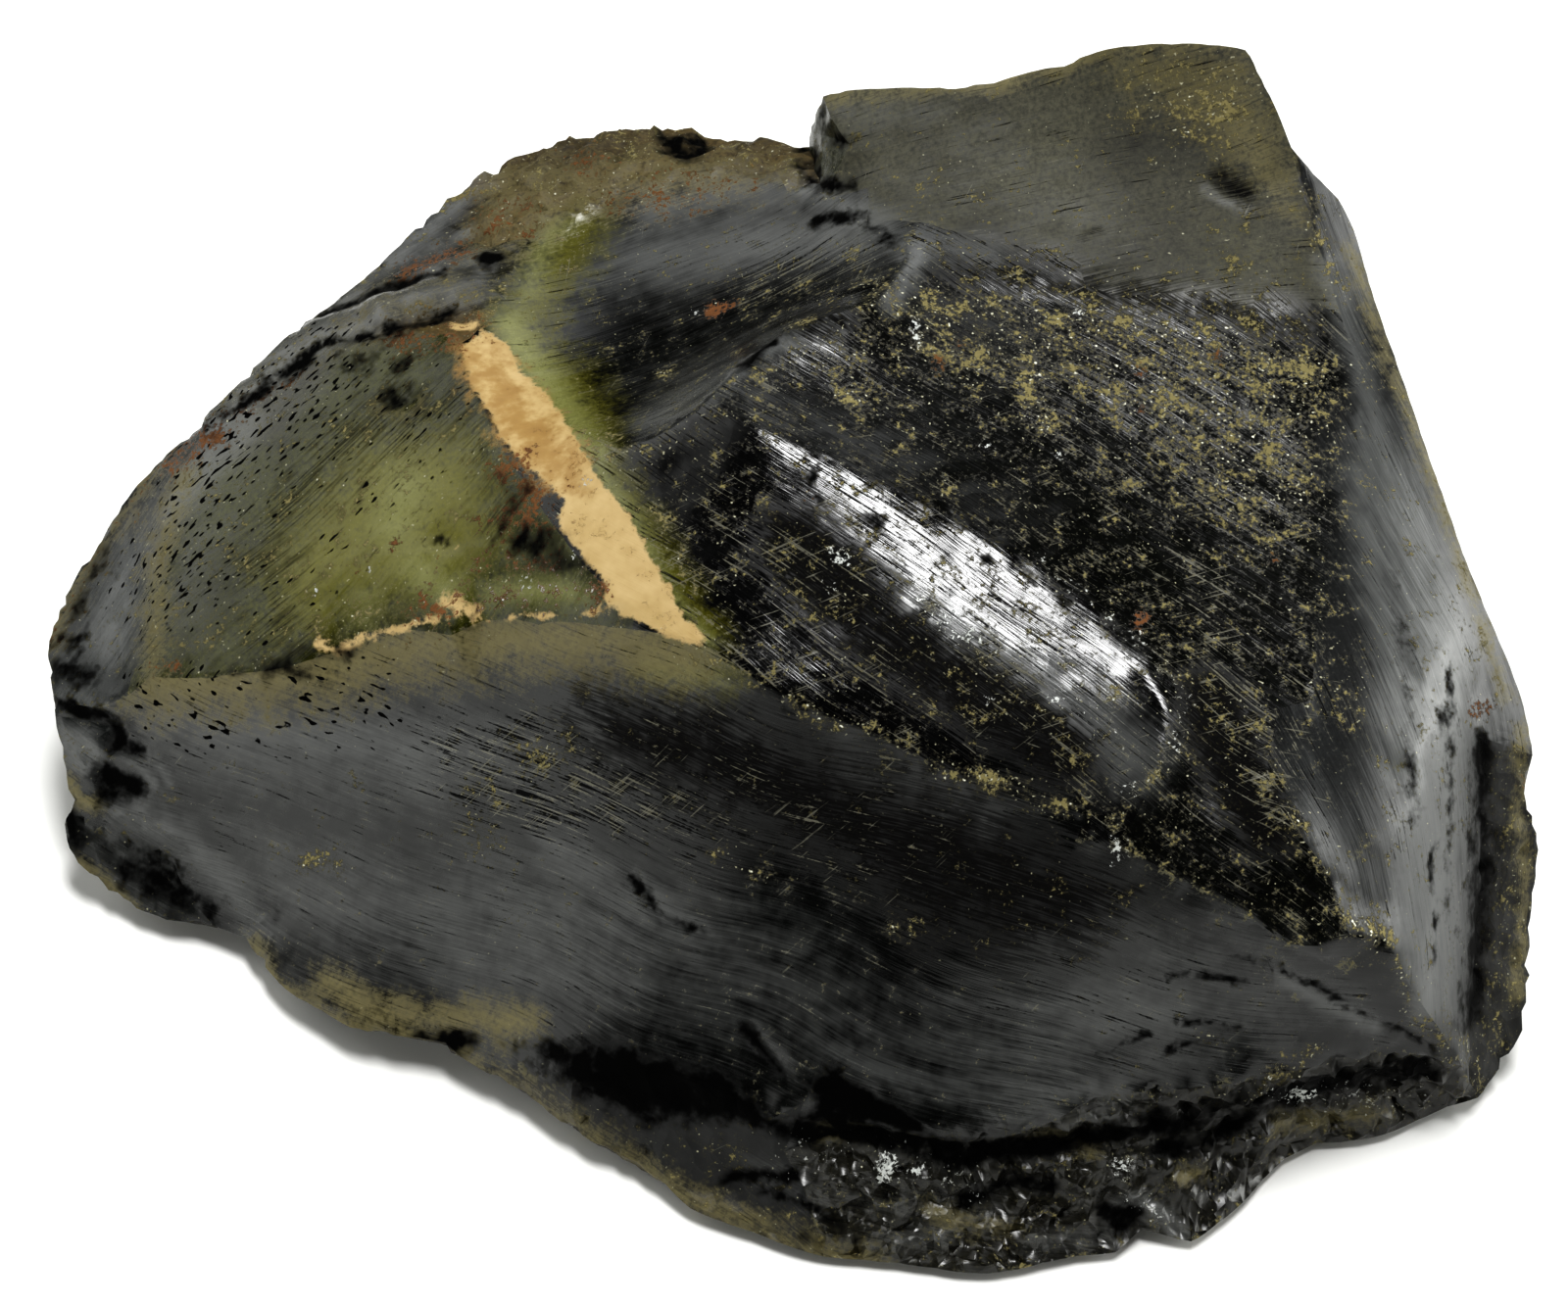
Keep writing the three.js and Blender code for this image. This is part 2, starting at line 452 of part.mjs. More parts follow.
// How strongly the film ties each spot to its neighbours: the cotangents of the angles that face
// their shared side, so that a flat outline gives a flat film however the spots are spread.
function filmTies(spots, triangles) {
  const ties = spots.map(() => new Map());
  for (const triangle of triangles) {
    triangle.forEach((a, k) => {
      const b = triangle[(k + 1) % 3];
      const c = triangle[(k + 2) % 3];
      const pull = Math.max(1 / Math.tan(angleAt(spots[c], spots[a], spots[b])), WEAKEST_PULL);
      ties[a].set(b, (ties[a].get(b) ?? FIRST_TIE) + pull);
      ties[b].set(a, (ties[b].get(a) ?? FIRST_TIE) + pull);
    });
  }
  return ties;
}

// Settles one number per spot to the tied mean of its neighbours plus a push; the outline stays.
function settle(values, ties, firstInner, push) {
  for (let pass = 0; pass < FILM_PASSES; pass += 1) {
    for (let k = firstInner; k < values.length; k += 1) {
      let sum = push;
      let weight = 0;
      for (const [neighbour, tie] of ties[k]) {
        sum += tie * values[neighbour];
        weight += tie;
      }
      values[k] = sum / weight;
    }
  }
}

// ---- Skin of one face --------------------------------------------------------------------
const skin = []; // every triangle, as three numbers of points

function fillFace([ridgeNames, dish]) {
  const loop = loopOf(ridgeNames);
  const { middle, outward, side, rise } = frameOf(loop);
  const spots = loop.map((index) => {
    const reach = points[index].clone().sub(middle);
    return { x: reach.dot(side), y: reach.dot(rise), height: reach.dot(outward) };
  });
  const outline = spots.map(({ x, y }) => new THREE.Vector2(x, y));
  const triangles = THREE.ShapeUtils.triangulateShape(outline, []);
  for (const triangle of triangles) {
    if (crossOf(...triangle.map((index) => spots[index])) < 0) triangle.reverse();
  }
  const outlineCount = spots.length;
  for (const seed of seedsInside(spots.slice())) plantSeed(spots, triangles, seed);
  evenOut(spots, triangles);

  const ties = filmTies(spots, triangles);
  const heights = spots.map(({ height }) => height);
  const bulge = spots.map(() => 0);
  settle(heights, ties, outlineCount, 0);
  settle(bulge, ties, outlineCount, 1);
  const deepest = Math.max(...bulge, 1);
  const numbers = [...loop];
  for (let k = outlineCount; k < spots.length; k += 1) {
    const height = heights[k] - (dish * bulge[k]) / deepest;
    const point = middle.clone().addScaledVector(side, spots[k].x).addScaledVector(rise, spots[k].y);
    numbers.push(addPoint(point.addScaledVector(outward, height)));
  }
  for (const triangle of triangles) skin.push(triangle.map((index) => numbers[index]));
}

Object.values(faces).forEach(fillFace);

// ---- Soft ridges -------------------------------------------------------------------------

function neighboursOf(triangles) {
  const near = new Map();
  for (const triangle of triangles) {
    for (const a of triangle) {
      if (!near.has(a)) near.set(a, new Set());
      triangle.filter((b) => b !== a).forEach((b) => near.get(a).add(b));
    }
  }
  return near;
}

// Rounds the soft ridges and the ring of points beside them.
function rollSoftRidges() {
  const near = neighboursOf(skin);
  const onRidge = new Set(Object.values(ridgeRun).flat());
  const rolled = new Set();
  for (const name of softRidges) {
    for (const index of ridgeRun[name].slice(1, -1)) {
      rolled.add(index);
      for (const neighbour of near.get(index)) if (!onRidge.has(neighbour)) rolled.add(neighbour);
    }
  }
  for (let pass = 0; pass < ROLL_PASSES; pass += 1) {
    for (const index of rolled) {
      const mean = new THREE.Vector3();
      const beside = near.get(index);
      for (const neighbour of beside) mean.addScaledVector(points[neighbour], 1 / beside.size);
      points[index].lerp(mean, ROLL_SHARE);
    }
  }
}

rollSoftRidges();

// ---- The part ----------------------------------------------------------------------------
const slagGlass = new THREE.MeshStandardMaterial({ color: 0x3b3e40, roughness: 0.28, metalness: 0 });

function buildChunk() {
  const geometry = new THREE.BufferGeometry().setFromPoints(points);
  geometry.setIndex(skin.flat());
  geometry.computeBoundingBox();
  const centre = geometry.boundingBox.getCenter(new THREE.Vector3());
  geometry.translate(-centre.x, -centre.y, -geometry.boundingBox.min.z);
  geometry.computeVertexNormals();
  const mesh = new THREE.Mesh(geometry, slagGlass);
  mesh.name = "slag_glass_chunk";
  return mesh;
}

const chunk = new THREE.Group();
chunk.add(buildChunk());

export default chunk;
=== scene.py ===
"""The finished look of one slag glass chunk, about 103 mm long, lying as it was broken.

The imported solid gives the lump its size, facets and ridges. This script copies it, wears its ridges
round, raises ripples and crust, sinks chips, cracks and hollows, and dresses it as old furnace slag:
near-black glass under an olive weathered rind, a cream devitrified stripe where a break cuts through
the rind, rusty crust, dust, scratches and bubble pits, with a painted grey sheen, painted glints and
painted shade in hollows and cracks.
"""

import heapq
import json
import logging
import math
from dataclasses import dataclass, field
from enum import Enum

import bpy
import numpy as np
from mathutils import Vector, noise
from mathutils.bvhtree import BVHTree
from mathutils.kdtree import KDTree
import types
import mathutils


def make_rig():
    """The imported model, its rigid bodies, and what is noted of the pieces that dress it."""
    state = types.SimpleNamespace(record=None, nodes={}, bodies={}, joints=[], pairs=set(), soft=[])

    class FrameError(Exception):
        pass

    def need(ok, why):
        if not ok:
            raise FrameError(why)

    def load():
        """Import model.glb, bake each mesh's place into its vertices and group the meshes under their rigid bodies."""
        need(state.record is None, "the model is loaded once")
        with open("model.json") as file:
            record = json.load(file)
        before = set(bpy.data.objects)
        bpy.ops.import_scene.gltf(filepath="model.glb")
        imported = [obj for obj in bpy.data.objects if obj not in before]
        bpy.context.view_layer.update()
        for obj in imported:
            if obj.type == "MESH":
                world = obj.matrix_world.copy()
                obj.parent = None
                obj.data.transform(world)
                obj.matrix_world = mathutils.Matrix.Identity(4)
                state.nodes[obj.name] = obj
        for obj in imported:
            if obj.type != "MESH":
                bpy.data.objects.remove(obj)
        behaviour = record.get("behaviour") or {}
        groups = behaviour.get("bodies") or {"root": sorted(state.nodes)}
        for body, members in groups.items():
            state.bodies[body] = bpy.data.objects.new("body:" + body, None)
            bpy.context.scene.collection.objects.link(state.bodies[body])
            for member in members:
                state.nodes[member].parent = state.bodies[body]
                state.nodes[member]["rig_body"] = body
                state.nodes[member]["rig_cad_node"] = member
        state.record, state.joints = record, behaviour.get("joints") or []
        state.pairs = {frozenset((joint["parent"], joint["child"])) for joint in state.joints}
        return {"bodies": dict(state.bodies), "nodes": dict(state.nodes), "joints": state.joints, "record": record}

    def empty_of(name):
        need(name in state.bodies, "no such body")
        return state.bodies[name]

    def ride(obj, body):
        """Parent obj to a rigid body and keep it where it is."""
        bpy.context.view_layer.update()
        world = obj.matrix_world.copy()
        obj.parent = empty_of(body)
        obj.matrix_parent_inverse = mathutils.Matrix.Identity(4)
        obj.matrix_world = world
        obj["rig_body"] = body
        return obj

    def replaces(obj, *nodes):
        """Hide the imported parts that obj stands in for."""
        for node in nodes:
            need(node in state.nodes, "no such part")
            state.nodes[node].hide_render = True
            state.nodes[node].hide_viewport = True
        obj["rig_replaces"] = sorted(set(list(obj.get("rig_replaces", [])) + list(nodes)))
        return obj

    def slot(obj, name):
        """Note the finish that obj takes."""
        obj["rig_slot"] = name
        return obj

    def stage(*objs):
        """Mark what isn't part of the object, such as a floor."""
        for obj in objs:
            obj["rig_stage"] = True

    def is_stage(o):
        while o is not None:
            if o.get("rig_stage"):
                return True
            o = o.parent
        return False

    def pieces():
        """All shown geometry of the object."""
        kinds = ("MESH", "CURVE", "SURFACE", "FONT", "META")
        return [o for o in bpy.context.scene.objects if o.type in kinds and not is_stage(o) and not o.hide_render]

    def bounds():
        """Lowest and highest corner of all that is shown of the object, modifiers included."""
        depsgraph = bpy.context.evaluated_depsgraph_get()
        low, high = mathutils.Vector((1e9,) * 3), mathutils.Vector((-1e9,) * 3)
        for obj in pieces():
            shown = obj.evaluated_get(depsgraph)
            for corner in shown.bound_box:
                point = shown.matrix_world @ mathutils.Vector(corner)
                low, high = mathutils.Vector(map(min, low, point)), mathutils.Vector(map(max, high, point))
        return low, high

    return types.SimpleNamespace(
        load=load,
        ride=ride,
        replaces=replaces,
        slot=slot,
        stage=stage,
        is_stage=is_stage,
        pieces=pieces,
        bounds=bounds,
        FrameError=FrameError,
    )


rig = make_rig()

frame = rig.load()
CAD_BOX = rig.bounds()

LOG = logging.getLogger("slag_glass")
MM = 0.001  # metres in a millimetre, the unit of every size and place below
TINY = 1e-9  # stands in for a length of nought where one divides

Pair = tuple[float, float]  # two numbers that belong together
Place = tuple[float, float]  # across and up on the board
Spot = tuple[float, float, float]  # x, y and z


def linear(colour: str) -> tuple[float, float, float, float]:
    """Turn an sRGB hex colour into the linear colour that shaders and lamps take.

    Args:
        colour: Six hex digits after a #.

    Returns:
        Linear red, green, blue and an alpha of 1.
    """
    parts = [int(colour[k : k + 2], 16) / 255 for k in (1, 3, 5)]
    return (*(p / 12.92 if p <= 0.04045 else ((p + 0.055) / 1.055) ** 2.4 for p in parts), 1.0)


def ramp(values: np.ndarray, start: float, end: float) -> np.ndarray:
    """Rise smoothly from 0 at start to 1 at end, or fall where end is the lower.

    Args:
        values: The numbers to grade.
        start: The value that gives 0.
        end: The value that gives 1.

    Returns:
        One share from 0 to 1 for each value.
    """
    t = np.clip((values - start) / (end - start), 0.0, 1.0)
    return t * t * (3 - 2 * t)


def read(rows: bpy.types.bpy_prop_collection, name: str, width: int = 1, kind: type = float) -> np.ndarray:
    """Read one property of every point, edge, face or corner of a mesh.

    Args:
        rows: The points, edges, faces or corners.
        name: Blender's name for the property.
        width: How many numbers it has.
        kind: Type of the numbers.

    Returns:
        One number for each row, or one row of numbers where the property has several.
    """
    numbers = np.empty(len(rows) * width, kind)
    rows.foreach_get(name, numbers)
    return numbers if width == 1 else numbers.reshape(-1, width)


# ---- Where things are ----------------------------------------------------------------------------


@dataclass(frozen=True)
class Board:
    """The leaning board that places on the lump are read from, and the eye that faces it.

    A place is (across, up) in millimetres from the board's middle, as the eye sees the lump
    through the board.

    Attributes:
        middle: Its middle in millimetres.
        pitch: Angle in radians at which the eye looks down on the lump.
        eye_distance: How far the eye is from the board's middle, in millimetres.
        lens: Focal length of the eye in millimetres.
    """

    middle: Spot = (0.8, -7.907, 22.0)
    pitch: float = math.radians(45)
    eye_distance: float = 248.4
    lens: float = 85.0

    @property
    def up(self) -> np.ndarray:
        """The board's upward direction."""
        return np.array([0.0, math.sin(self.pitch), math.cos(self.pitch)])

    @property
    def ahead(self) -> np.ndarray:
        """The direction that the eye looks in."""
        return np.array([0.0, math.cos(self.pitch), -math.sin(self.pitch)])

    @property
    def eye(self) -> np.ndarray:
        """The eye's place in millimetres."""
        return np.array(self.middle) - self.ahead * self.eye_distance

    def places(self, points: np.ndarray) -> np.ndarray:
        """Read points off the board.

        Args:
            points: One row of x, y and z in millimetres for each point.

        Returns:
            One row of across and up for each point.
        """
        reach = points - self.eye
        scale = self.eye_distance / (reach @ self.ahead)
        return np.stack([reach[:, 0] * scale, (reach @ self.up) * scale], axis=1)


BOARD = Board()


# ---- The facets ----------------------------------------------------------------------------------


@dataclass(frozen=True)
class Facet:
    """One fracture face of the lump: places on it, and how its glass looks.

    Attributes:
        spots: Places on the facet, each x, y and z in millimetres.
        tint: Body colour of the glass there.
        gloss: Roughness of the glass, low where the break is fresh.
        dust: How thickly dust lies, from 0 to 1.
        scratches: How thickly fine scratches lie, from 0 to 1.
        grain_deg: Direction of scratches and flow lines on the board, from across.
        waves: Height in millimetres of the ripples that the break left.
        lumps: Height in millimetres of rough crust.
        nibble: Depth in millimetres of the small chips along its ridges.
    """

    spots: tuple[Spot, ...]
    tint: str
    gloss: float
    dust: float
    scratches: float
    grain_deg: float
    waves: float
    lumps: float
    nibble: float


# Places, tint, then gloss, dust, scratches, grain_deg, waves, lumps and nibble.
FACETS = {
    "olive": Facet(((-30, 4, 25),), "#2e2f0d", 0.12, 0.3, 0.1, 40, 0.07, 0.05, 0.3),
    "strip": Facet(((-46, 5, 15),), "#121514", 0.16, 0.2, 0.1, 60, 0.05, 0.05, 0.4),
    "brow": Facet(((-36, 18, 25), (-42, 14, 21)), "#2e2d22", 0.14, 0.25, 0.1, 40, 0.05, 0.06, 0.5),
    "brow_upper": Facet(((-25, 29, 29),), "#0d0e0b", 0.14, 0.25, 0.1, 40, 0.05, 0.06, 0.5),
    "crust_strip": Facet(((-24, 22, 30), (-22, 22, 30)), "#28271e", 0.14, 0.3, 0.1, 20, 0.05, 0.14, 0.6),
    "tan_band": Facet(((-24, 16, 30), (-20, 17, 31)), "#4a3c1e", 0.5, 0.6, 0.1, 20, 0, 0.35, 0.6),
    "crust": Facet(
        ((-10, 31, 33), (-19, 27, 31), (-1, 30, 34), (-16, 33, 32)),
        "#463a1c", 0.65, 0.5, 0, 0, 0, 0.6, 0.8,
    ),
    "scoop": Facet(
        ((-7, 14, 32), (6, 13, 37), (-16, 6, 31), (-13, 24, 32), (0, 23, 34)),
        "#0a0b09", 0.09, 0.15, 0.15, 25, 0.06, 0, 0.3,
    ),
    "block_end": Facet(((3, 29, 36),), "#35362b", 0.2, 0.3, 0.1, 80, 0.05, 0.1, 0.5),
    "block": Facet(
        ((21, 21, 40), (7, 24, 38), (34, 16, 39), (30, 24, 45), (13, 18, 38), (14, 25, 40), (21, 15, 38)),
        "#3b3a2e", 0.62, 0.14, 0.14, 10, 0.03, 0.01, 0.3,
    ),
    "black": Facet(
        ((25, -3, 32), (30, -27, 24), (1, 2, 37), (15, 11, 37), (37, 8, 35), (34, -14, 28)),
        "#080906", 0.12, 0.34, 0.36, -40, 0.05, 0.03, 0.3,
    ),
    "streaked": Facet(
        ((3, -12, 32), (-13, -1, 32), (19, -21, 26), (-4, -6, 34), (11, -11, 32), (24, -19, 28)),
        "#070707", 0.08, 0.3, 0.4, -38, 0.04, 0.03, 0.3,
    ),
    "right": Facet(
        ((43, -21, 21), (44, -5, 28), (45, -28, 9), (42, -13, 26), (43, -26, 16), (40, 4, 31)),
        "#121414", 0.3, 0.16, 0.12, -75, 0.03, 0, 0.1,
    ),
    "sliver": Facet(((49, -23, 8), (48, -20, 12)), "#080805", 0.7, 0.4, 0.1, -80, 0.05, 0.35, 0.8),
    "slate": Facet(
        ((-8, -22, 16), (40, -31, 11), (-44, -8, 9), (14, -35, 10), (-28, -22, 5)),
        "#090a09", 0.1, 0.06, 0.12, -16, 0.14, 0, 0.35,
    ),
    "chip": Facet(((-48, -5, 10),), "#121413", 0.16, 0.2, 0.1, -20, 0.05, 0.15, 0.6),
    "hollow": Facet(((-44, -11, 4),), "#0d0f0d", 0.18, 0.2, 0.1, -30, 0.1, 0.08, 0.8),
    "foot_left": Facet(((-6, -35, 4),), "#040504", 0.5, 0.2, 0.1, -30, 0.1, 0.25, 0.9),
    "foot_front": Facet(
        ((12, -40, 2), (19, -40, 2), (6, -38, 5)),
        "#1f1e18", 0.22, 0.22, 0.1, -10, 0.05, 0.9, 0.9,
    ),
    "foot_right": Facet(
        ((32, -34, 5), (43, -30, 4), (23, -36, 7)),
        "#1a1913", 0.25, 0.26, 0.1, 10, 0.05, 0.8, 0.9,
    ),
    "back_left": Facet(((-35, 24, 17),), "#131511", 0.18, 0.25, 0.2, 60, 0.12, 0.1, 0.5),
    "back_middle": Facet(((-5, 37, 23),), "#10120e", 0.15, 0.25, 0.2, 80, 0.15, 0.08, 0.5),
    "back_block": Facet(((22, 35, 32),), "#151711", 0.2, 0.25, 0.2, 80, 0.12, 0.05, 0.5),
    "back_right": Facet(((42, 13, 24),), "#101211", 0.14, 0.2, 0.2, 80, 0.15, 0, 0.1),
    "low_back_left": Facet(((-39, 20, 3),), "#14150f", 0.28, 0.35, 0.1, 40, 0.1, 0.2, 0.7),
    "low_back_middle": Facet(((-4, 39, 7),), "#11120c", 0.24, 0.35, 0.1, 10, 0.12, 0.15, 0.7),
    "low_back_right": Facet(((29, 38, 8),), "#10110c", 0.24, 0.35, 0.1, 10, 0.12, 0.15, 0.7),
    "low_right": Facet(
        ((47, 3, 6), (39, 30, 7), (48, -24, 2)),
        "#10110c", 0.24, 0.35, 0.1, 20, 0.12, 0.15, 0.6,
    ),
    "under": Facet(((-22, -24, 0.5), (-48, -6, 4)), "#13110b", 0.35, 0.35, 0.1, -30, 0.05, 0.2, 0.8),
    "base": Facet(((4, 0, 0),), "#191811", 0.45, 0.5, 0.3, 10, 0, 0, 0),
}
FACET_NUMBERS = {name: number for number, name in enumerate(FACETS)}


def of_facets(quality: str) -> np.ndarray:
    """List one quality of all the facets, such as their dust, in their order."""
    return np.array([getattr(facet, quality) for facet in FACETS.values()])


# ---- What lies on the glass ----------------------------------------------------------------------


class Mark(Enum):
    """What lies on the glass or in it, and the sheen, glints and shade painted on it."""

    BLOOM = "haze_and_sheen"  # blue-grey haze, and a painted grey sheen where the glass mirrors the room
    RIND = "rind"  # olive rind, cut through
    PALE = "pale"  # milky green glass between the rind and the stripe
    BROWN = "brown"  # light through thin or iron-stained glass
    CREAM = "cream"  # devitrified, opaque glass
    OCHRE = "ochre"  # devitrified glass stained by iron
    DUST = "dust"  # tan grit and crushed glass
    RUST = "rust"  # iron oxide crust
    DARK = "dark"  # painted shade: black in open hollows, cracks and under ledges, and on clean black glass that mirrors the dark room
    PAINTED_GLINT = "painted_glint"  # painted glints: small white highlights painted on the glass
    SCRATCH = "scratch"  # fine scratches
    PIT = "pit"  # small drawn-out bubble pits
    SCUFF_AND_SHADE = "worn"  # scuffed black glass that has lost its shine, also laid as painted shade where the glass looks dark
    RIDGE = "ridge"  # the rubbed edge of a ridge


@dataclass(frozen=True)
class Trace:
    """One mark, followed on the board.

    Attributes:
        mark: What it leaves, or None for a change of height alone.
        places: Places on the board along it, or round it where it is a patch.
        width: Full width of a line in millimetres, or 0 for a patch.
        fade: How far in millimetres its edge fades, on either side.
        strength: 1 where it covers the glass, less where it only freckles it.
        on: Facets that it stays on, or none for all.
        lift: Millimetres that it stands proud of the glass, negative where it is sunk.
    """

    mark: Mark | None
    places: tuple[Place, ...]
    width: float = 0.0
    fade: float = 1.5
    strength: float = 1.0
    on: tuple[str, ...] = ()
    lift: float = 0.0

    def reach(self, spots: np.ndarray) -> np.ndarray:
        """Measure how far inside its edge each spot lies.

        Args:
            spots: Rows of across and up on the board.

        Returns:
            Millimetres inside the edge, negative outside it.
        """
        corners = np.array(self.places, float)
        closed = self.width == 0
        if closed:
            starts, ends = corners, np.roll(corners, -1, axis=0)
        elif len(corners) == 1:
            starts = ends = corners
        else:
            starts, ends = corners[:-1], corners[1:]
        nearest = np.full(len(spots), np.inf)
        inside = np.zeros(len(spots), bool)
        for start, end in zip(starts, ends):
            run = end - start
            along = np.clip((spots - start) @ run / max(float(run @ run), TINY), 0, 1)
            nearest = np.minimum(nearest, np.hypot(*(spots - start - along[:, None] * run).T))
            crosses = (start[1] > spots[:, 1]) != (end[1] > spots[:, 1])
            rise = (spots[:, 1] - start[1]) / (run[1] or TINY)
            inside ^= crosses & (spots[:, 0] < start[0] + rise * run[0])
        if closed:
            return np.where(inside, nearest, -nearest)
        return self.width / 2 - nearest

    def cover(self, spots: np.ndarray) -> np.ndarray:
        """Grade each spot from 0 well outside the mark to its strength well inside.

        Args:
            spots: Rows of across and up on the board.

        Returns:
            The mark's share at each spot, half its strength at its edge.
        """
        return self.strength * np.clip(0.5 + self.reach(spots) / (2 * self.fade), 0.0, 1.0)


def line(mark: Mark | None, width: float, *places: Place, **settings: object) -> Trace:
    """Draw a trace of one width along places, or a spot at a single place.

    Args:
        mark: What it leaves, or None for a change of height alone.
        width: Its full width in millimetres.
        *places: Places on the board along it.
        **settings: Other settings of the trace.

    Returns:
        The trace.
    """
    return Trace(mark, places, width, **settings)


def patch(mark: Mark, *places: Place, **settings: object) -> Trace:
    """Draw a trace that fills the outline through places.

    Args:
        mark: What it leaves.
        *places: Places on the board round it.
        **settings: Other settings of the trace.

    Returns:
        The trace.
    """
    return Trace(mark, places, **settings)


# ---- The traces, read off the board --------------------------------------------------------------

# Edges that carry more than one mark.
OLIVE_RIM = ((-42.3, -1), (-42.2, 3), (-41.9, 6), (-41.3, 9), (-40.2, 12))
LEFT_RIM = ((-49.2, 1), (-47.8, 4.5), (-46.2, 7.2), (-44.4, 9.8), (-42.6, 12.4))

# The devitrified stripe, where the break crosses the rind beside the olive face.
STRIPE = (
    patch(
        Mark.CREAM, (-21.6, 20.6), (-21.2, 19), (-20.6, 17.2), (-19.6, 15.9), (-19, 14.4), (-18, 13.2),
        (-17, 12.2), (-15.8, 11.2), (-14.9, 10.2), (-15.3, 8.6), (-14.2, 7.2), (-13, 6), (-12, 4.6),
        (-12, 3.2), (-10.6, 2.5), (-8.4, 1.4), (-6.2, 0.6), (-5.2, 0.8), (-6.4, 2.2), (-7.6, 4), (-8.9, 6.4),
        (-10, 8.6), (-11.2, 10.4), (-12.4, 11.6), (-13.4, 13.2), (-14.6, 15.6), (-16, 17.4), (-17.8, 19.2),
        (-18.6, 20.8), (-19.8, 21.6), (-20.8, 21.4), fade=0.6,
    ),
    patch(
        Mark.OCHRE, (-21.6, 20.6), (-20.6, 17.2), (-19, 14.4), (-18, 13.2), (-16, 10.6), (-14, 11),
        (-14.2, 13.6), (-16.4, 16.4), (-18.6, 19.2), (-19.8, 21), fade=1.6,
    ),
    line(Mark.PALE, 2, (-18.4, 22), (-17.7, 20.2), (-16, 18.2), (-14.4, 16.1), (-13, 13.6), fade=1.4),
    line(
        Mark.PALE, 0.9, (-13, 13), (-11.6, 10.9), (-10, 8.6), (-8.6, 5.8), (-7, 3), (-5.2, 0.9), fade=0.8,
        strength=0.85,
    ),
    line(Mark.RIND, 3.2, (-17.4, 21.4), (-16, 19.6), (-14.6, 17.6), (-13.2, 15.6), fade=2.6, strength=0.75),
    line(
        Mark.RIND, 1.8, (-12.6, 14), (-11, 11.4), (-9.4, 9), (-8, 6.4), (-6.4, 3.6), (-4.6, 1.4),
        strength=0.78,
    ),
    line(Mark.RIND, 2.6, (-16.6, 23.4), (-15.2, 26), (-13.4, 28.6), fade=2.4, strength=0.85),
    patch(
        Mark.PALE, (-17.7, 23.4), (-16.6, 24.2), (-15.9, 25.6), (-15.2, 27.4), (-13.8, 29), (-14.6, 29.4),
        (-16, 28.8), (-17, 27.2), (-17.4, 25.2), fade=1.2, strength=0.75,
    ),
    line(
        Mark.RUST, 2.4, (-18.4, 12.6), (-17.4, 11.2), (-16.3, 10.4), (-16.6, 9.2), (-17.6, 8.4), strength=0.8,
    ),
    line(Mark.RUST, 1, (-17.6, 13.2), fade=0.6, strength=0.9),
    line(Mark.RUST, 0.8, (-12.3, 4.7), (-11.8, 4.4), fade=0.6, strength=0.9),
    line(Mark.RUST, 1.5, (-20.4, 5.4), (-18.2, 6), (-15.6, 6.2), strength=0.68),
    line(Mark.RUST, 1.2, (-19.8, 9.2), (-18.2, 8.6), strength=0.6),
    line(Mark.DARK, 1.8, (-18.2, 11), fade=1, strength=0.75),
    line(Mark.DARK, 1.7, (-17.8, 7.6), (-16.8, 7), (-15.8, 7.2), strength=0.9, lift=-0.3),
    line(Mark.DARK, 1.6, (-14.5, 6), fade=0.8, strength=0.8),
    line(Mark.PAINTED_GLINT, 0.6, (-14.3, 6.5), fade=0.5),
    line(Mark.PAINTED_GLINT, 0.7, (-13.3, 11.4), fade=0.5, strength=0.8, lift=0.25),
    line(Mark.PAINTED_GLINT, 0.7, (-10.3, 12.7), fade=0.5, strength=0.8),
    line(Mark.DUST, 0.4, (-14.6, 15), (-12.4, 14.6), (-10.4, 14), fade=0.5, strength=0.9),
)

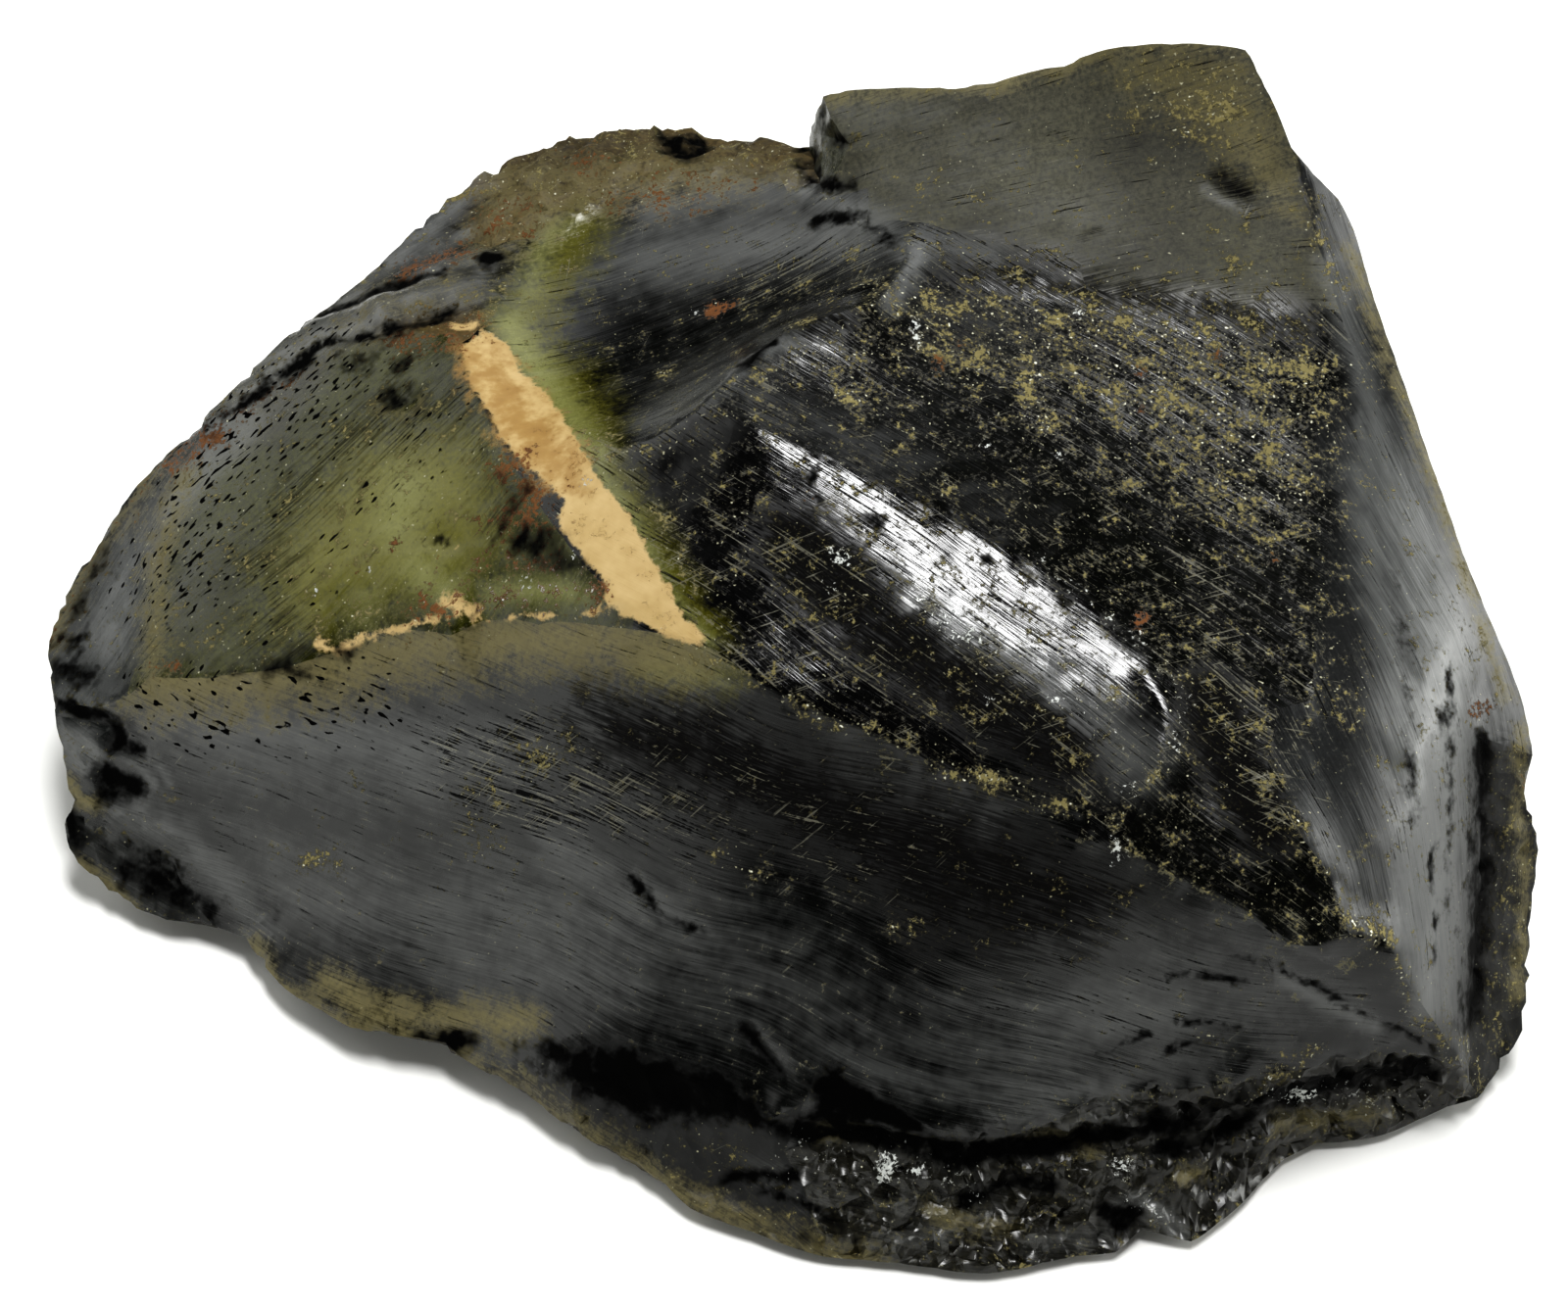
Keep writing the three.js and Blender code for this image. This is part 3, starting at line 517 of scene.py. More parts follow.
# The rind's own weathered skin, with its pocket of bubbles and its iron-stained foot.
OLIVE_FACE = (
    # Painted shadow: dull dark bands round the olive face's middle and down its right.
    line(
        Mark.SCUFF_AND_SHADE, 4, (-33.6, 1.4), (-34.8, 6), (-32, 11.6), (-27.4, 15.6), (-21.4, 16.4), fade=2.6,
        strength=0.4,
    ),
    line(Mark.SCUFF_AND_SHADE, 2, (-20.4, 15), (-19.4, 9.4), fade=1.6, strength=0.4),
    line(Mark.DUST, 3, (-30, 2), (-24, 3.6), (-19, 5), fade=2, strength=0.62),
    line(Mark.PAINTED_GLINT, 0.5, (-27.6, 5.6), fade=0.4, strength=0.9),
    line(Mark.PAINTED_GLINT, 0.5, (-31.4, 4.2), fade=0.4, strength=0.9),
    # Painted grey sheen on the left of the olive face.
    patch(
        Mark.BLOOM, (-42.3, 2), (-41.8, 8), (-40.5, 12.3), (-38.2, 14.5), (-36, 17), (-33.5, 19.2),
        (-30, 19.8), (-29.5, 18.2), (-31.8, 15.8), (-34, 13.4), (-36.5, 10.5), (-37.6, 7.5), (-38.6, 4),
        (-40, 1.5), fade=2.4, strength=0.42,
    ),
    patch(
        Mark.RIND, (-28.5, 14.5), (-20.5, 15.5), (-18.8, 11), (-19, 7), (-21, 4), (-29, 2.5), (-34, 1.5),
        (-35, 6), (-31.5, 11), fade=3, strength=0.85,
    ),
    line(Mark.RIND, 2.4, (-31.5, 7), (-31.3, 2.5), strength=0.95),
    line(Mark.PALE, 2.4, (-25.3, 11), (-26.2, 8.5), fade=2, strength=0.75),
    line(Mark.PALE, 2.2, (-24.6, 5.6), (-22.6, 4.2), fade=1.8, strength=0.8),
    line(Mark.PALE, 1.2, (-27.8, 3.6), (-28.2, 2.2), strength=0.6),
    patch(
        Mark.PALE, (-20.2, 4.6), (-17.5, 5.2), (-14.5, 5.2), (-12.8, 4.2), (-12.6, 3.2), (-16, 3.2),
        (-20, 3.3), fade=1, strength=0.7,
    ),
    line(Mark.PIT, 7, (-41, 5), (-38.5, 10.5), (-35, 15), (-31, 18.2), fade=2.5, strength=0.62),
    line(Mark.PIT, 9, (-36, 3), (-30, 13), (-25, 16), fade=3, strength=0.24),
    line(Mark.BROWN, 1.3, *OLIVE_RIM, strength=0.85),
    line(Mark.DUST, 1, *OLIVE_RIM, strength=0.6),
    line(Mark.RUST, 1.4, (-41.2, 12.4), (-39.4, 13.8), (-37.8, 14.6), fade=0.8, strength=0.75),
    line(Mark.RUST, 1.1, (-42, -0.8), (-40.6, -0.9), fade=0.7, strength=0.7),
    line(Mark.RUST, 1.7, (-25.8, 20.6), (-23.4, 21.3), (-21, 21.4), strength=0.72),
    line(Mark.CREAM, 0.5, (-22.2, 21.9), (-20.6, 22), fade=0.4),
    line(Mark.DARK, 1.1, (-26.4, 17), (-25.4, 17.3), fade=0.8, strength=0.8, lift=-0.5),
    line(Mark.BROWN, 0.5, (-27.4, 16.6), (-26.4, 16), (-25, 16.1), (-24.4, 17), fade=0.6, strength=0.8),
    line(Mark.DARK, 1.3, (-29.8, 19.2), (-27, 20), (-25.4, 19.2), strength=0.62),
    line(Mark.DARK, 0.8, (-23.3, 7.6), (-22.3, 7.4), fade=0.7, strength=0.85, lift=-0.25),
    line(Mark.CREAM, 0.7, (-22.1, 7.1), (-21.8, 7.5), fade=0.5, strength=0.8),
    line(Mark.CREAM, 0.8, (-31.2, 0.6), (-29.8, 0.3), (-28.8, 0.6), (-28.4, 1.2), fade=0.6),
    line(Mark.CREAM, 0.7, (-28.4, 1), (-25.8, 1.5), (-24, 2.2), (-22, 2.6), fade=0.6, strength=0.85),
    line(Mark.CREAM, 1.7, (-22.8, 3.6), (-21.6, 3), (-20.8, 2.6), fade=0.9, strength=0.72),
    line(Mark.CREAM, 0.5, (-20, 2.4), (-16, 2.5), (-12.5, 2.7), (-10, 2.5), fade=0.5, strength=0.8),
    line(Mark.RUST, 0.9, (-24.2, 3.5), fade=0.5),
    line(Mark.RUST, 0.9, (-23.4, 2.8), (-22.4, 2.6), fade=0.5),
    line(Mark.RUST, 0.7, (-24.5, 2.3), fade=0.5, strength=0.9),
    line(Mark.RUST, 0.7, (-23.3, 6.4), fade=0.5, strength=0.8),
    line(Mark.RUST, 0.6, (-28.4, 5.3), fade=0.5, strength=0.7),
    line(Mark.RUST, 0.6, (-26.2, 7.3), fade=0.5, strength=0.7),
    line(Mark.RUST, 2.6, (-24.5, 2.6), (-18, 4.6), (-12.6, 3.6), strength=0.42),
    line(Mark.DARK, 0.6, (-21.4, 1.8), (-20.8, 2.8), fade=0.5, strength=0.8),
    line(Mark.DARK, 0.6, (-29.8, 0), (-28.6, 0.4), fade=0.5, strength=0.9),
    line(Mark.DARK, 1.2, (-38, -0.8), (-34.5, -0.9), (-32, -0.4), strength=0.6),
    line(Mark.PAINTED_GLINT, 1.1, (-17.3, 4.7), fade=0.6, strength=0.9),
    line(Mark.PAINTED_GLINT, 0.7, (-19.6, 4.6), fade=0.5, strength=0.8),
    line(Mark.PAINTED_GLINT, 2.4, (-20, 4.4), (-13.5, 4.2), strength=0.34),
    line(Mark.DUST, 16, (-33, 6), (-24, 8), fade=4, strength=0.3),
)

# The narrow left strip and the broken left tip.
LEFT_END = (
    # Painted grey sheen along the left strip, and painted shade at the tip.
    line(Mark.BLOOM, 3.2, (-45, 1), (-43.8, 5.5), (-42, 9.4), (-39.4, 12.4), (-36.4, 15.4), fade=1.6),
    line(Mark.BROWN, 1.3, *LEFT_RIM, strength=0.85),
    line(Mark.RUST, 1.2, *LEFT_RIM, strength=0.45),
    line(Mark.DARK, 1, (-48.2, 0.5), (-46.6, 4.8), (-45.6, 7), strength=0.65),
    patch(
        Mark.DARK, (-49.5, 0), (-46.5, 0.2), (-44.8, -1.8), (-46.4, -2.6), (-49.3, -2.2), fade=1,
        strength=0.6,
    ),
    patch(Mark.BLOOM, (-48.9, -4.6), (-46.4, -5.2), (-45.8, -6.8), (-46.4, -8.2), (-48.2, -7.6), fade=0.8),
    line(Mark.DARK, 0.8, (-49, -3.2), (-47, -4.2), (-45.6, -4.4), fade=0.6, lift=-0.3),
    line(Mark.BLOOM, 0.5, (-48.9, -2.6), (-46.8, -3.3), (-44.8, -4), fade=0.5),
    line(Mark.DARK, 1.2, (-45, -5), (-44.6, -6), (-43.4, -6.2), fade=0.7, lift=-0.3),
    line(Mark.DARK, 1.7, (-45.6, -8.2), (-43.8, -9.2), (-45.4, -9.6), fade=0.9, strength=0.9, lift=-0.3),
    line(Mark.BLOOM, 0.4, (-44.6, -6.8), (-43, -7.6), (-42.2, -8.8), fade=0.5),
    line(Mark.BLOOM, 0.4, (-43.6, -6.6), (-42.2, -7.2), (-41.2, -8.8), fade=0.5),
    line(Mark.BROWN, 1, (-48, -8.6), (-47.6, -9.8), (-46.2, -10.2), fade=0.7, strength=0.9),
    line(Mark.DARK, 1.6, (-48, -11.2), (-47.4, -12.4), fade=0.9, strength=0.9),
    line(Mark.BROWN, 0.8, (-47.4, -14.3), (-46, -15), (-44.6, -16.6), (-43.6, -17.3), fade=0.7),
    patch(
        Mark.DARK, (-46.5, -12.8), (-43, -12.6), (-40, -14.6), (-37.6, -16.8), (-38, -18.2), (-42, -17.2),
        (-45, -15.6), strength=0.75,
    ),
    line(Mark.BLOOM, 2.2, (-44.5, -10.6), (-41, -12), (-38.6, -14.4), (-36, -17), (-34.8, -19), strength=0.8),
)

# The long lower face, with a painted grey sheen on the left and below and painted shade under the ridge.
SLATE = (
    patch(
        Mark.BLOOM, (-44, -2.6), (-36, -2.6), (-28, -3), (-20, -4.6), (-17, -8), (-24, -10), (-32, -9),
        (-40, -8), (-44, -6), fade=3, strength=0.6,
    ),
    patch(
        Mark.BLOOM, (-38, -11), (-28, -13), (-16, -14), (-6, -15.5), (2, -18), (8, -22.5), (16, -23),
        (22, -20), (28, -18.5), (34, -19.5), (38, -24), (34, -27), (24, -28.5), (14, -31.5), (6, -29),
        (2, -27), (-6, -27), (-14, -24.5), (-22, -23.5), (-30, -21), (-35, -17), fade=3.5, strength=0.42,
    ),
    line(
        Mark.BLOOM, 3, (-15.4, -13.7), (-12, -16), (-7.8, -17.6), (-3.5, -20.2), (0.7, -22.4), fade=2.2,
        strength=0.6,
    ),
    line(Mark.BLOOM, 1.6, (-10, -22), (-6, -24.4), (-3, -25.6), fade=1.4, strength=0.45),
    line(Mark.BLOOM, 2.6, (3, -24.4), (8, -26), (14, -27), (19, -28), fade=2.2, strength=0.6),
    line(Mark.BLOOM, 3, (2, -26), (8, -28.2), (14, -29.4), (22, -29.2), fade=2, strength=0.6),
    line(Mark.BLOOM, 1, (8, -29), (12, -30.4), (16, -31.2), (22, -31), fade=0.8, strength=0.6),
    line(Mark.BLOOM, 2.6, (16, -24), (22, -22.8), (29, -21), fade=2.2, strength=0.55),
    line(Mark.BLOOM, 0.8, (1.2, -25.8), (5.4, -27.6), (9, -30), fade=0.7, strength=0.7),
    # Painted shade: the slate dulled and darkened below the black face's ridge.
    patch(
        Mark.SCUFF_AND_SHADE, (-14, -3), (-4, -3.6), (6, -8), (18, -12), (24, -16), (20, -19.5), (10, -20), (4, -15),
        (-6, -10), (-13, -7), fade=3, strength=0.8, on=("slate",),
    ),
    line(
        Mark.BROWN, 3.8, (-42, -2), (-36, -2), (-30, -1), (-25, 0.3), (-18, 0.9), (-12, 1), (-7, 0), fade=2.6,
        strength=0.95, on=("slate",),
    ),
    line(Mark.RIND, 2, (-9, -0.8), (-4, -1.6), strength=0.8, on=("slate",)),
    line(Mark.DUST, 1.2, (-7, 0.2), (-3.5, -1.2), (0, -2.6), (4, -4.4), (8, -6), strength=0.66),
    line(Mark.DUST, 1, (0.2, -2.8), (2.5, -4.4), (4.2, -5), fade=0.7, strength=0.9),
    line(Mark.DUST, 1.6, (10.4, -7.8), (12.4, -8.4), (14.6, -8.6), (16.4, -9.2), fade=0.8, strength=0.95),
    line(Mark.DUST, 1.2, (16.4, -9.6), (18, -10.2), (19.4, -10.2), fade=0.7, strength=0.95),
    line(Mark.DUST, 0.9, (21, -10.8), (22, -11.2), (23.2, -10.4), fade=0.7, strength=0.9),
    line(Mark.PIT, 5, (-42, -3.5), (-34, -3.8), (-27, -3.6), fade=2, strength=0.45),
    patch(
        Mark.SCRATCH, (-26.5, -4.2), (-17, -3.4), (-6, -8), (-4, -13), (-15, -13), (-20, -12.5), (-23.5, -9),
        fade=2, strength=0.5,
    ),
    line(Mark.SCRATCH, 12, (-10, -8), (8, -14), fade=5, strength=0.34),
    line(Mark.SCRATCH, 12, (0, -20), (30, -24), fade=6, strength=0.2),
    line(Mark.DUST, 2.4, (-17, -6.9), (-15.2, -6.7), strength=0.62),
    line(Mark.DUST, 1.6, (-20.8, -8.8), (-19.8, -8.7), strength=0.6),
    line(Mark.DUST, 2.2, (-20.8, -10.4), (-20.2, -12.4), strength=0.55),
    line(
        Mark.DUST, 0.9, (-32.4, -14.3), (-31.4, -13.7), (-30.4, -13.8), (-29.8, -14.5), fade=0.6,
        strength=0.95,
    ),
    line(Mark.DARK, 0.35, (-10.4, -15), (-8.8, -17), (-8.2, -17.6), (-5.2, -18.8), fade=0.5, lift=-0.1),
    line(Mark.DUST, 0.6, (-4.8, -13.6), (-3.9, -13.1), fade=0.5),
    line(Mark.DUST, 0.6, (-3.8, -14.3), (-0.8, -15), fade=0.5, strength=0.85),
    line(Mark.DUST, 1.4, (7.4, -18.5), (8.2, -18.2), fade=0.8, strength=0.7),
    patch(
        Mark.DUST, (9, -13), (18, -11.5), (26, -15), (30, -19), (22, -20.5), (14, -22.5), (8, -22), fade=3,
        strength=0.14,
    ),
    # Painted shadows: black under the hollow brow and under the sill.
    patch(
        Mark.DARK, (-18, -26), (-12, -26.2), (-8, -27), (-4.5, -28), (-2, -30), (-0.8, -31.6), (-4, -31.6),
        (-9, -31.4), (-13.5, -30), fade=1.2, strength=0.95,
    ),
    line(Mark.DARK, 0.8, (-2.6, -25.2), (-1.8, -26.4), (-0.2, -28), fade=0.6, lift=-0.3),
    patch(
        Mark.DARK, (1, -29.2), (3, -27.9), (6, -29.4), (8.5, -31), (10, -32.3), (6, -31.6), (0, -31.2),
        (-0.6, -31.6), (2.2, -30.6), (2.2, -29.6), fade=0.5,
    ),
    patch(
        Mark.DARK, (-1.4, -32), (1, -31.3), (5, -31.6), (7, -32), (11, -32.8), (16, -32.6), (22, -32),
        (22, -33), (15, -34.4), (11, -35), (8, -33.6), (5, -33.4), (1, -33), fade=0.7, lift=-0.6,
    ),
    line(Mark.DARK, 1.6, (22, -32.2), (28, -31.2), (33, -29.6), (38, -28.4), (43, -27.8), fade=1.2),
    line(
        Mark.BROWN, 1.9, (-30.5, -22.2), (-28, -23.8), (-24, -24.6), (-20, -24.6), (-17.5, -24.8),
        strength=0.95,
    ),
    line(
        Mark.BROWN, 1, (-35.5, -19.6), (-34.6, -21.6), (-32.6, -23.4), (-29.5, -24.9), (-26, -25.9),
        (-21.5, -26.6), fade=0.9, strength=0.9,
    ),
    line(
        Mark.BROWN, 1.6, (-21.3, -27.6), (-18, -29.5), (-14, -32), (-10, -34.6), (-6, -37), (-2, -38.4),
        (2, -40.2), (6, -41), strength=0.8,
    ),
    line(Mark.DARK, 1.3, (-24.5, -25.8), (-22.4, -26.3), (-21.2, -26), fade=0.8, lift=-0.4),
    line(Mark.DUST, 0.9, (31, -30), (32.6, -28.9), (34.2, -28), (35.2, -26.9), (36.2, -26.5), fade=0.5),
    line(
        Mark.DARK, 0.4, (30.2, -20.4), (33, -21.3), (36, -22.6), (38.2, -24), (41, -25.2), (43.6, -26.6),
        fade=0.4, strength=0.9, lift=-0.25,
    ),
    line(Mark.BLOOM, 1, (33.4, -21.9), (36, -23.4), (39.6, -25), fade=0.7),
    line(Mark.DARK, 0.3, (26, -25), (28, -24.7), (30.6, -25.2), fade=0.3, lift=-0.12),
    line(Mark.DARK, 0.4, (25.8, -26.6), (27.4, -26.1), (29.4, -26.1), fade=0.4, lift=-0.12),
    line(Mark.DARK, 0.4, (21, -26.8), (24.6, -25.6), fade=0.5, lift=-0.08),
    line(Mark.DARK, 0.4, (25.6, -21.8), (28, -21.6), (31, -22), fade=0.5, lift=-0.08),
    line(Mark.DUST, 0.8, (28.1, -26), (28.5, -25.7), fade=0.5),
)

# The rolled edge that catches the lamp, and the streaked face below it.
STREAKED = (
    line(
        None, 6.5, (-3.8, 15.8), (1.7, 11.2), (6.1, 8.5), (10.5, 6.8), (14.8, 4.4), (18.1, 1.5), (21.4, -1.3),
        (25.1, -5), fade=3.25, lift=0.16,
    ),
    line(None, 5, (-3, 12.6), (2.5, 9), (8, 6.4), fade=2.5, lift=0.12),
    line(None, 6, (15.5, 7.4), (20.1, 4.3), (23.4, 1.5), (27.2, -2), fade=3, lift=0.16),
    line(None, 2, (35, -2), (36, -8), (37, -13), fade=3, lift=-0.3),
    line(None, 4, (8, 24.8), (20, 23.6), (30, 23), (36, 20.5), fade=4, lift=-0.5),
    line(Mark.DARK, 0.7, (2.2, 12.6), (1.8, 11.2), (2.4, 10.2), fade=0.5, strength=0.9),
    line(Mark.RUST, 0.7, (1.8, 10.5), fade=0.5),
    line(Mark.DARK, 0.9, (5.6, 9), (6.4, 8.8), fade=0.6, strength=0.8),
    line(Mark.DARK, 0.7, (11.4, 6.8), fade=0.5, strength=0.9),
    line(Mark.DARK, 0.9, (13.5, 6.2), fade=0.5, strength=0.9),
    line(
        Mark.DARK, 0.9, (5, 12), (9, 10.1), (12, 8.9), (15, 6.9), (19, 3.5), (22, 1.9), (24.4, -0.6),
        fade=0.8, strength=0.55,
    ),
    # Painted glints along and below the rolled edge.
    line(
        Mark.PAINTED_GLINT, 0.9, (16.8, 6.8), (18.6, 4.8), (20.6, 3), (24, 0.4), (26.2, -2.6), (27.2, -3.4), fade=0.8,
        strength=0.5,
    ),
    line(Mark.PAINTED_GLINT, 0.6, (26.4, -4.4), (26.2, -6.4), fade=0.5, strength=0.8),
    line(Mark.PAINTED_GLINT, 0.9, (22.4, -12.6), (22.6, -13.6), (22.2, -14.4), fade=0.6, strength=0.75),
    line(Mark.PAINTED_GLINT, 0.9, (23, -9.2), fade=0.5, strength=0.85),
    patch(
        Mark.PAINTED_GLINT, (9.6, 2.6), (10.8, 3.2), (12.8, 1.6), (13.2, 0.6), (11.4, 0.6), fade=0.8, strength=0.75,
    ),
    line(Mark.PAINTED_GLINT, 0.9, (3.4, 6.5), (4, 6.2), fade=0.5, strength=0.85),
    line(Mark.PAINTED_GLINT, 0.8, (8.6, 3.9), (9.2, 3.5), fade=0.5, strength=0.85),
    line(Mark.PAINTED_GLINT, 0.6, (2.9, 4.7), (3.2, 4.4), fade=0.5, strength=0.9),
    line(Mark.PAINTED_GLINT, 0.9, (18.2, -3), fade=0.5, strength=0.85),
    line(Mark.PAINTED_GLINT, 0.8, (13.6, -3.1), fade=0.5, strength=0.75),
    # Painted grey sheen and glints below the highlight.
    line(Mark.BLOOM, 5, (8, 3), (13.5, -0.5), (17.5, -3), (20.5, -4.5), (23, -7), fade=2.5, strength=0.9),
    line(Mark.PAINTED_GLINT, 3, (12, 2), (17, -1.6), (22, -5), (24, -7), fade=2, strength=0.3),
    line(Mark.DUST, 3, (-3.2, 9.2), (-2.2, 9.8), strength=0.6),
    line(Mark.DUST, 2.6, (-9.5, 12), (-7.8, 7.5), (-5.4, 3.5), fade=1.5, strength=0.45),
    line(Mark.DUST, 3, (-8, 13.6), (-4, 16.4), (0, 18.4), strength=0.5),
    line(Mark.SCRATCH, 14, (-6, 6), (6, 2), (16, -4), fade=4, strength=0.36),
)

# The broad black face, dusty along its top, scratched towards the lower right.
BLACK_FACE = (
    # Painted shade: dull black laid where the lamp's reflection would show on the black face.
    line(Mark.SCUFF_AND_SHADE, 2.2, (11, 26.2), (20, 24.6), (28, 23.4), (35, 21.6), fade=1.4, strength=0.6),
    line(Mark.SCUFF_AND_SHADE, 1.8, (1.6, 21.8), (3.6, 22.2), fade=1),
    line(Mark.SCUFF_AND_SHADE, 4.4, (28.6, -3.4), (30.2, -7.4), (32.4, -11.6), fade=1.4),
    line(Mark.SCUFF_AND_SHADE, 5.4, (0.6, 7.4), (6.4, 1.6), (12.6, -2.6), (18.6, -6.6), fade=1.6, strength=0.85),
    patch(
        Mark.DUST, (-4, 18), (0, 21), (6, 23), (9, 26), (20, 24.5), (30, 24), (36, 24), (38, 18), (37.5, 10),
        (34, 4), (28, 8), (22, 14), (12, 17), (4, 17.5), fade=3.5, strength=0.67,
    ),
    line(Mark.DUST, 3.4, (6, 24), (12, 23.4), (18, 22.8), (28, 21.4), (36, 19), fade=2, strength=0.85),
    line(Mark.DUST, 3.2, (16.4, 19.5), (17.2, 15.4), fade=1.2, strength=0.85),
    line(Mark.DUST, 1.8, (4, 17.2), (5.2, 17), fade=0.8, strength=0.9),
    line(Mark.DUST, 0.9, (7.5, 16.5), (9.2, 16.7), fade=0.5, strength=0.95),
    line(Mark.DUST, 1.6, (-2, 18.4), (1, 20), (3, 20.4), fade=1, strength=0.8),
    line(Mark.DUST, 6, (35, 4), (37, -3), fade=3, strength=0.45),
    line(Mark.DUST, 1, (32, -3), (32.8, -7.5), (34, -10), (35, -13), fade=0.8, strength=0.85),
    line(Mark.DUST, 0.8, (33.9, -12), (35.6, -14), (37.4, -15.4), fade=0.7, strength=0.85),
    line(Mark.RUST, 0.9, (23.9, 18.6), fade=0.5),
    line(Mark.RUST, 0.8, (23.8, 16.3), fade=0.5),
    line(Mark.RUST, 0.8, (29.3, 20), fade=0.6, strength=0.85),
    line(Mark.RUST, 0.8, (10.3, 19.3), fade=0.6, strength=0.85),
    line(Mark.RUST, 0.9, (23.6, 2), (24, 2.3), fade=0.5),
    line(Mark.RUST, 0.6, (11.8, 20.8), fade=0.5, strength=0.85),
    line(Mark.RUST, 0.6, (32.8, 6.3), fade=0.5, strength=0.8),
    line(Mark.PAINTED_GLINT, 0.7, (8.8, 22.4), (9, 20.9), fade=0.5, strength=0.85),
    line(Mark.PAINTED_GLINT, 0.8, (19.8, 22.9), fade=0.5, strength=0.9),
    line(Mark.PAINTED_GLINT, 0.5, (13.7, 13.9), fade=0.5),
    line(Mark.PAINTED_GLINT, 0.8, (18.4, 13.3), fade=0.6, strength=0.75),
    line(Mark.SCRATCH, 18, (10, 14), (22, 8), (30, -4), fade=4, strength=0.36),
    line(Mark.SCRATCH, 7, (28, 4), (30, -2), (33, -10), fade=3, strength=0.56),
)

# The glossy scoop between the stripe and the black face.
SCOOP = (
    # Painted grey sheen in the scoop.
    patch(Mark.BLOOM, (-12, 17), (-8.4, 21), (-1, 23.4), (5, 24.6), (0, 19), (-7, 15), fade=3, strength=0.36),
    patch(
        Mark.BLOOM, (-15.5, 25.5), (-13.5, 28), (-8, 29.4), (-2, 30), (3, 30.6), (8, 27.6), (6, 25),
        (0, 25.2), (-5, 25), (-9, 24), (-14, 23.6), fade=2, strength=0.7,
    ),
    line(Mark.RUST, 1, (-4.8, 23), (-3.8, 23.3), fade=0.4),
    line(Mark.PAINTED_GLINT, 0.5, (-5.8, 22.9), fade=0.4),
    line(Mark.DUST, 0.6, (-3.6, 25.2), (-2.8, 25.5), fade=0.4),
    line(Mark.DUST, 0.6, (-8.7, 18.7), (-7.4, 18.9), fade=0.4),
    line(Mark.BLOOM, 1.8, (-9.5, 15.4), (-6, 17.2), (-3.2, 19.2), fade=1.2, strength=0.85),
    line(Mark.BLOOM, 2.2, (-9, 29.6), (-4, 30.8), (1, 31.2), (5, 29.4), (8, 27.6), fade=1.2),
    line(Mark.BLOOM, 1.6, (-1, 20.6), (1.5, 21.5), (3.2, 21.9), fade=0.7),
    line(Mark.DUST, 0.7, (0.2, 21.9), (1.6, 22.4), fade=0.4),
    line(Mark.BLOOM, 1.6, (7.2, 23.6), (8.2, 25.2), (9, 26.8), fade=0.7),
    line(Mark.DARK, 0.6, (-2.8, 19), (-1.8, 20.4), (0.6, 21.6), fade=0.5, lift=-0.2),
    line(Mark.DUST, 6, (-3, 24), (5, 25), fade=2, strength=0.3),
    line(Mark.SCRATCH, 3.5, (-2, 24.6), (5, 26), strength=0.55),
    line(Mark.DARK, 0.9, (2.2, 29), (4.8, 29.3), (7, 27.9), fade=0.7, strength=0.9),
    line(Mark.DARK, 0.9, (2.6, 31.5), (4.6, 31.2), fade=0.6, strength=0.9),
)

# The upright block at the back, matt with handling, and the dusty strip down its right side.
BLOCK = (
    # Painted grey sheen on the lower left of the block.
    line(Mark.BLOOM, 2, (4, 36.2), (11, 36.4), fade=1.4, strength=0.55),
    line(Mark.BLOOM, 1.8, (5, 29), (10, 27.4), (14, 26.8), fade=1.2, strength=0.8),
    patch(
        Mark.BLOOM, (3.6, 37), (13, 37.6), (22, 32), (26, 26), (14, 26.6), (6, 29), fade=3.5, strength=0.25,
    ),
    patch(
        Mark.BROWN, (21, 40.6), (31.4, 40.6), (33, 35), (35.6, 28), (32, 30.5), (28.4, 34.4), (24, 36.4),
        fade=1.8, strength=0.6,
    ),
    line(Mark.BROWN, 0.8, (3, 37.3), (10, 37.9), (16, 38.9), (22, 40.6), (31, 41), fade=0.6, strength=0.8),
    line(Mark.BROWN, 1.7, (12.5, 38.6), (15.2, 38.8), fade=0.9),
    line(Mark.BROWN, 1.3, (18, 39.4), (20, 40.2), fade=0.9),
    line(Mark.DUST, 1.5, (26, 36.4), (27.4, 36.6), (28, 35.8), fade=0.8, strength=0.8),
    line(Mark.DUST, 1.4, (29.6, 37.2), (29.6, 36), fade=0.8, strength=0.85),
    patch(
        Mark.DUST, (22, 40.5), (31.5, 40.5), (32.5, 36), (30, 33), (26, 33.5), (23, 37), fade=2,
        strength=0.62,
    ),
    line(Mark.DUST, 3, (30, 28), (31.5, 25), (33, 22), fade=1.8, strength=0.5),
    line(Mark.DUST, 1, (34.6, 31), (35.8, 28.4), (36.6, 26), (37.4, 23.6), fade=0.8, strength=0.85),
    line(Mark.SCUFF_AND_SHADE, 1.3, (29.4, 31.8), (31, 30.8), fade=0.8, strength=0.85, lift=-0.3),
    line(Mark.BLOOM, 0.5, (28.2, 31.2), (29.4, 30.3), (31.2, 29.9), fade=0.4, strength=0.9),
    line(Mark.SCUFF_AND_SHADE, 0.4, (20, 28.1), (21, 28.4), fade=0.4, strength=0.8),
    line(Mark.DUST, 0.8, (13, 30.6), (13.6, 30.8), fade=0.4),
    line(Mark.DUST, 0.9, (10.8, 33), (10.4, 31.8), (10.4, 31), fade=0.6, strength=0.8),
    line(Mark.DUST, 0.4, (24.5, 33.1), (27.2, 32.2), fade=0.4, strength=0.9),
    line(Mark.DARK, 1.1, (2.5, 35.8), (3.6, 34.6), fade=0.7, strength=0.8),
    line(Mark.DARK, 1.3, (1.6, 33.2), (1.8, 31.6), fade=0.8, strength=0.9),
)

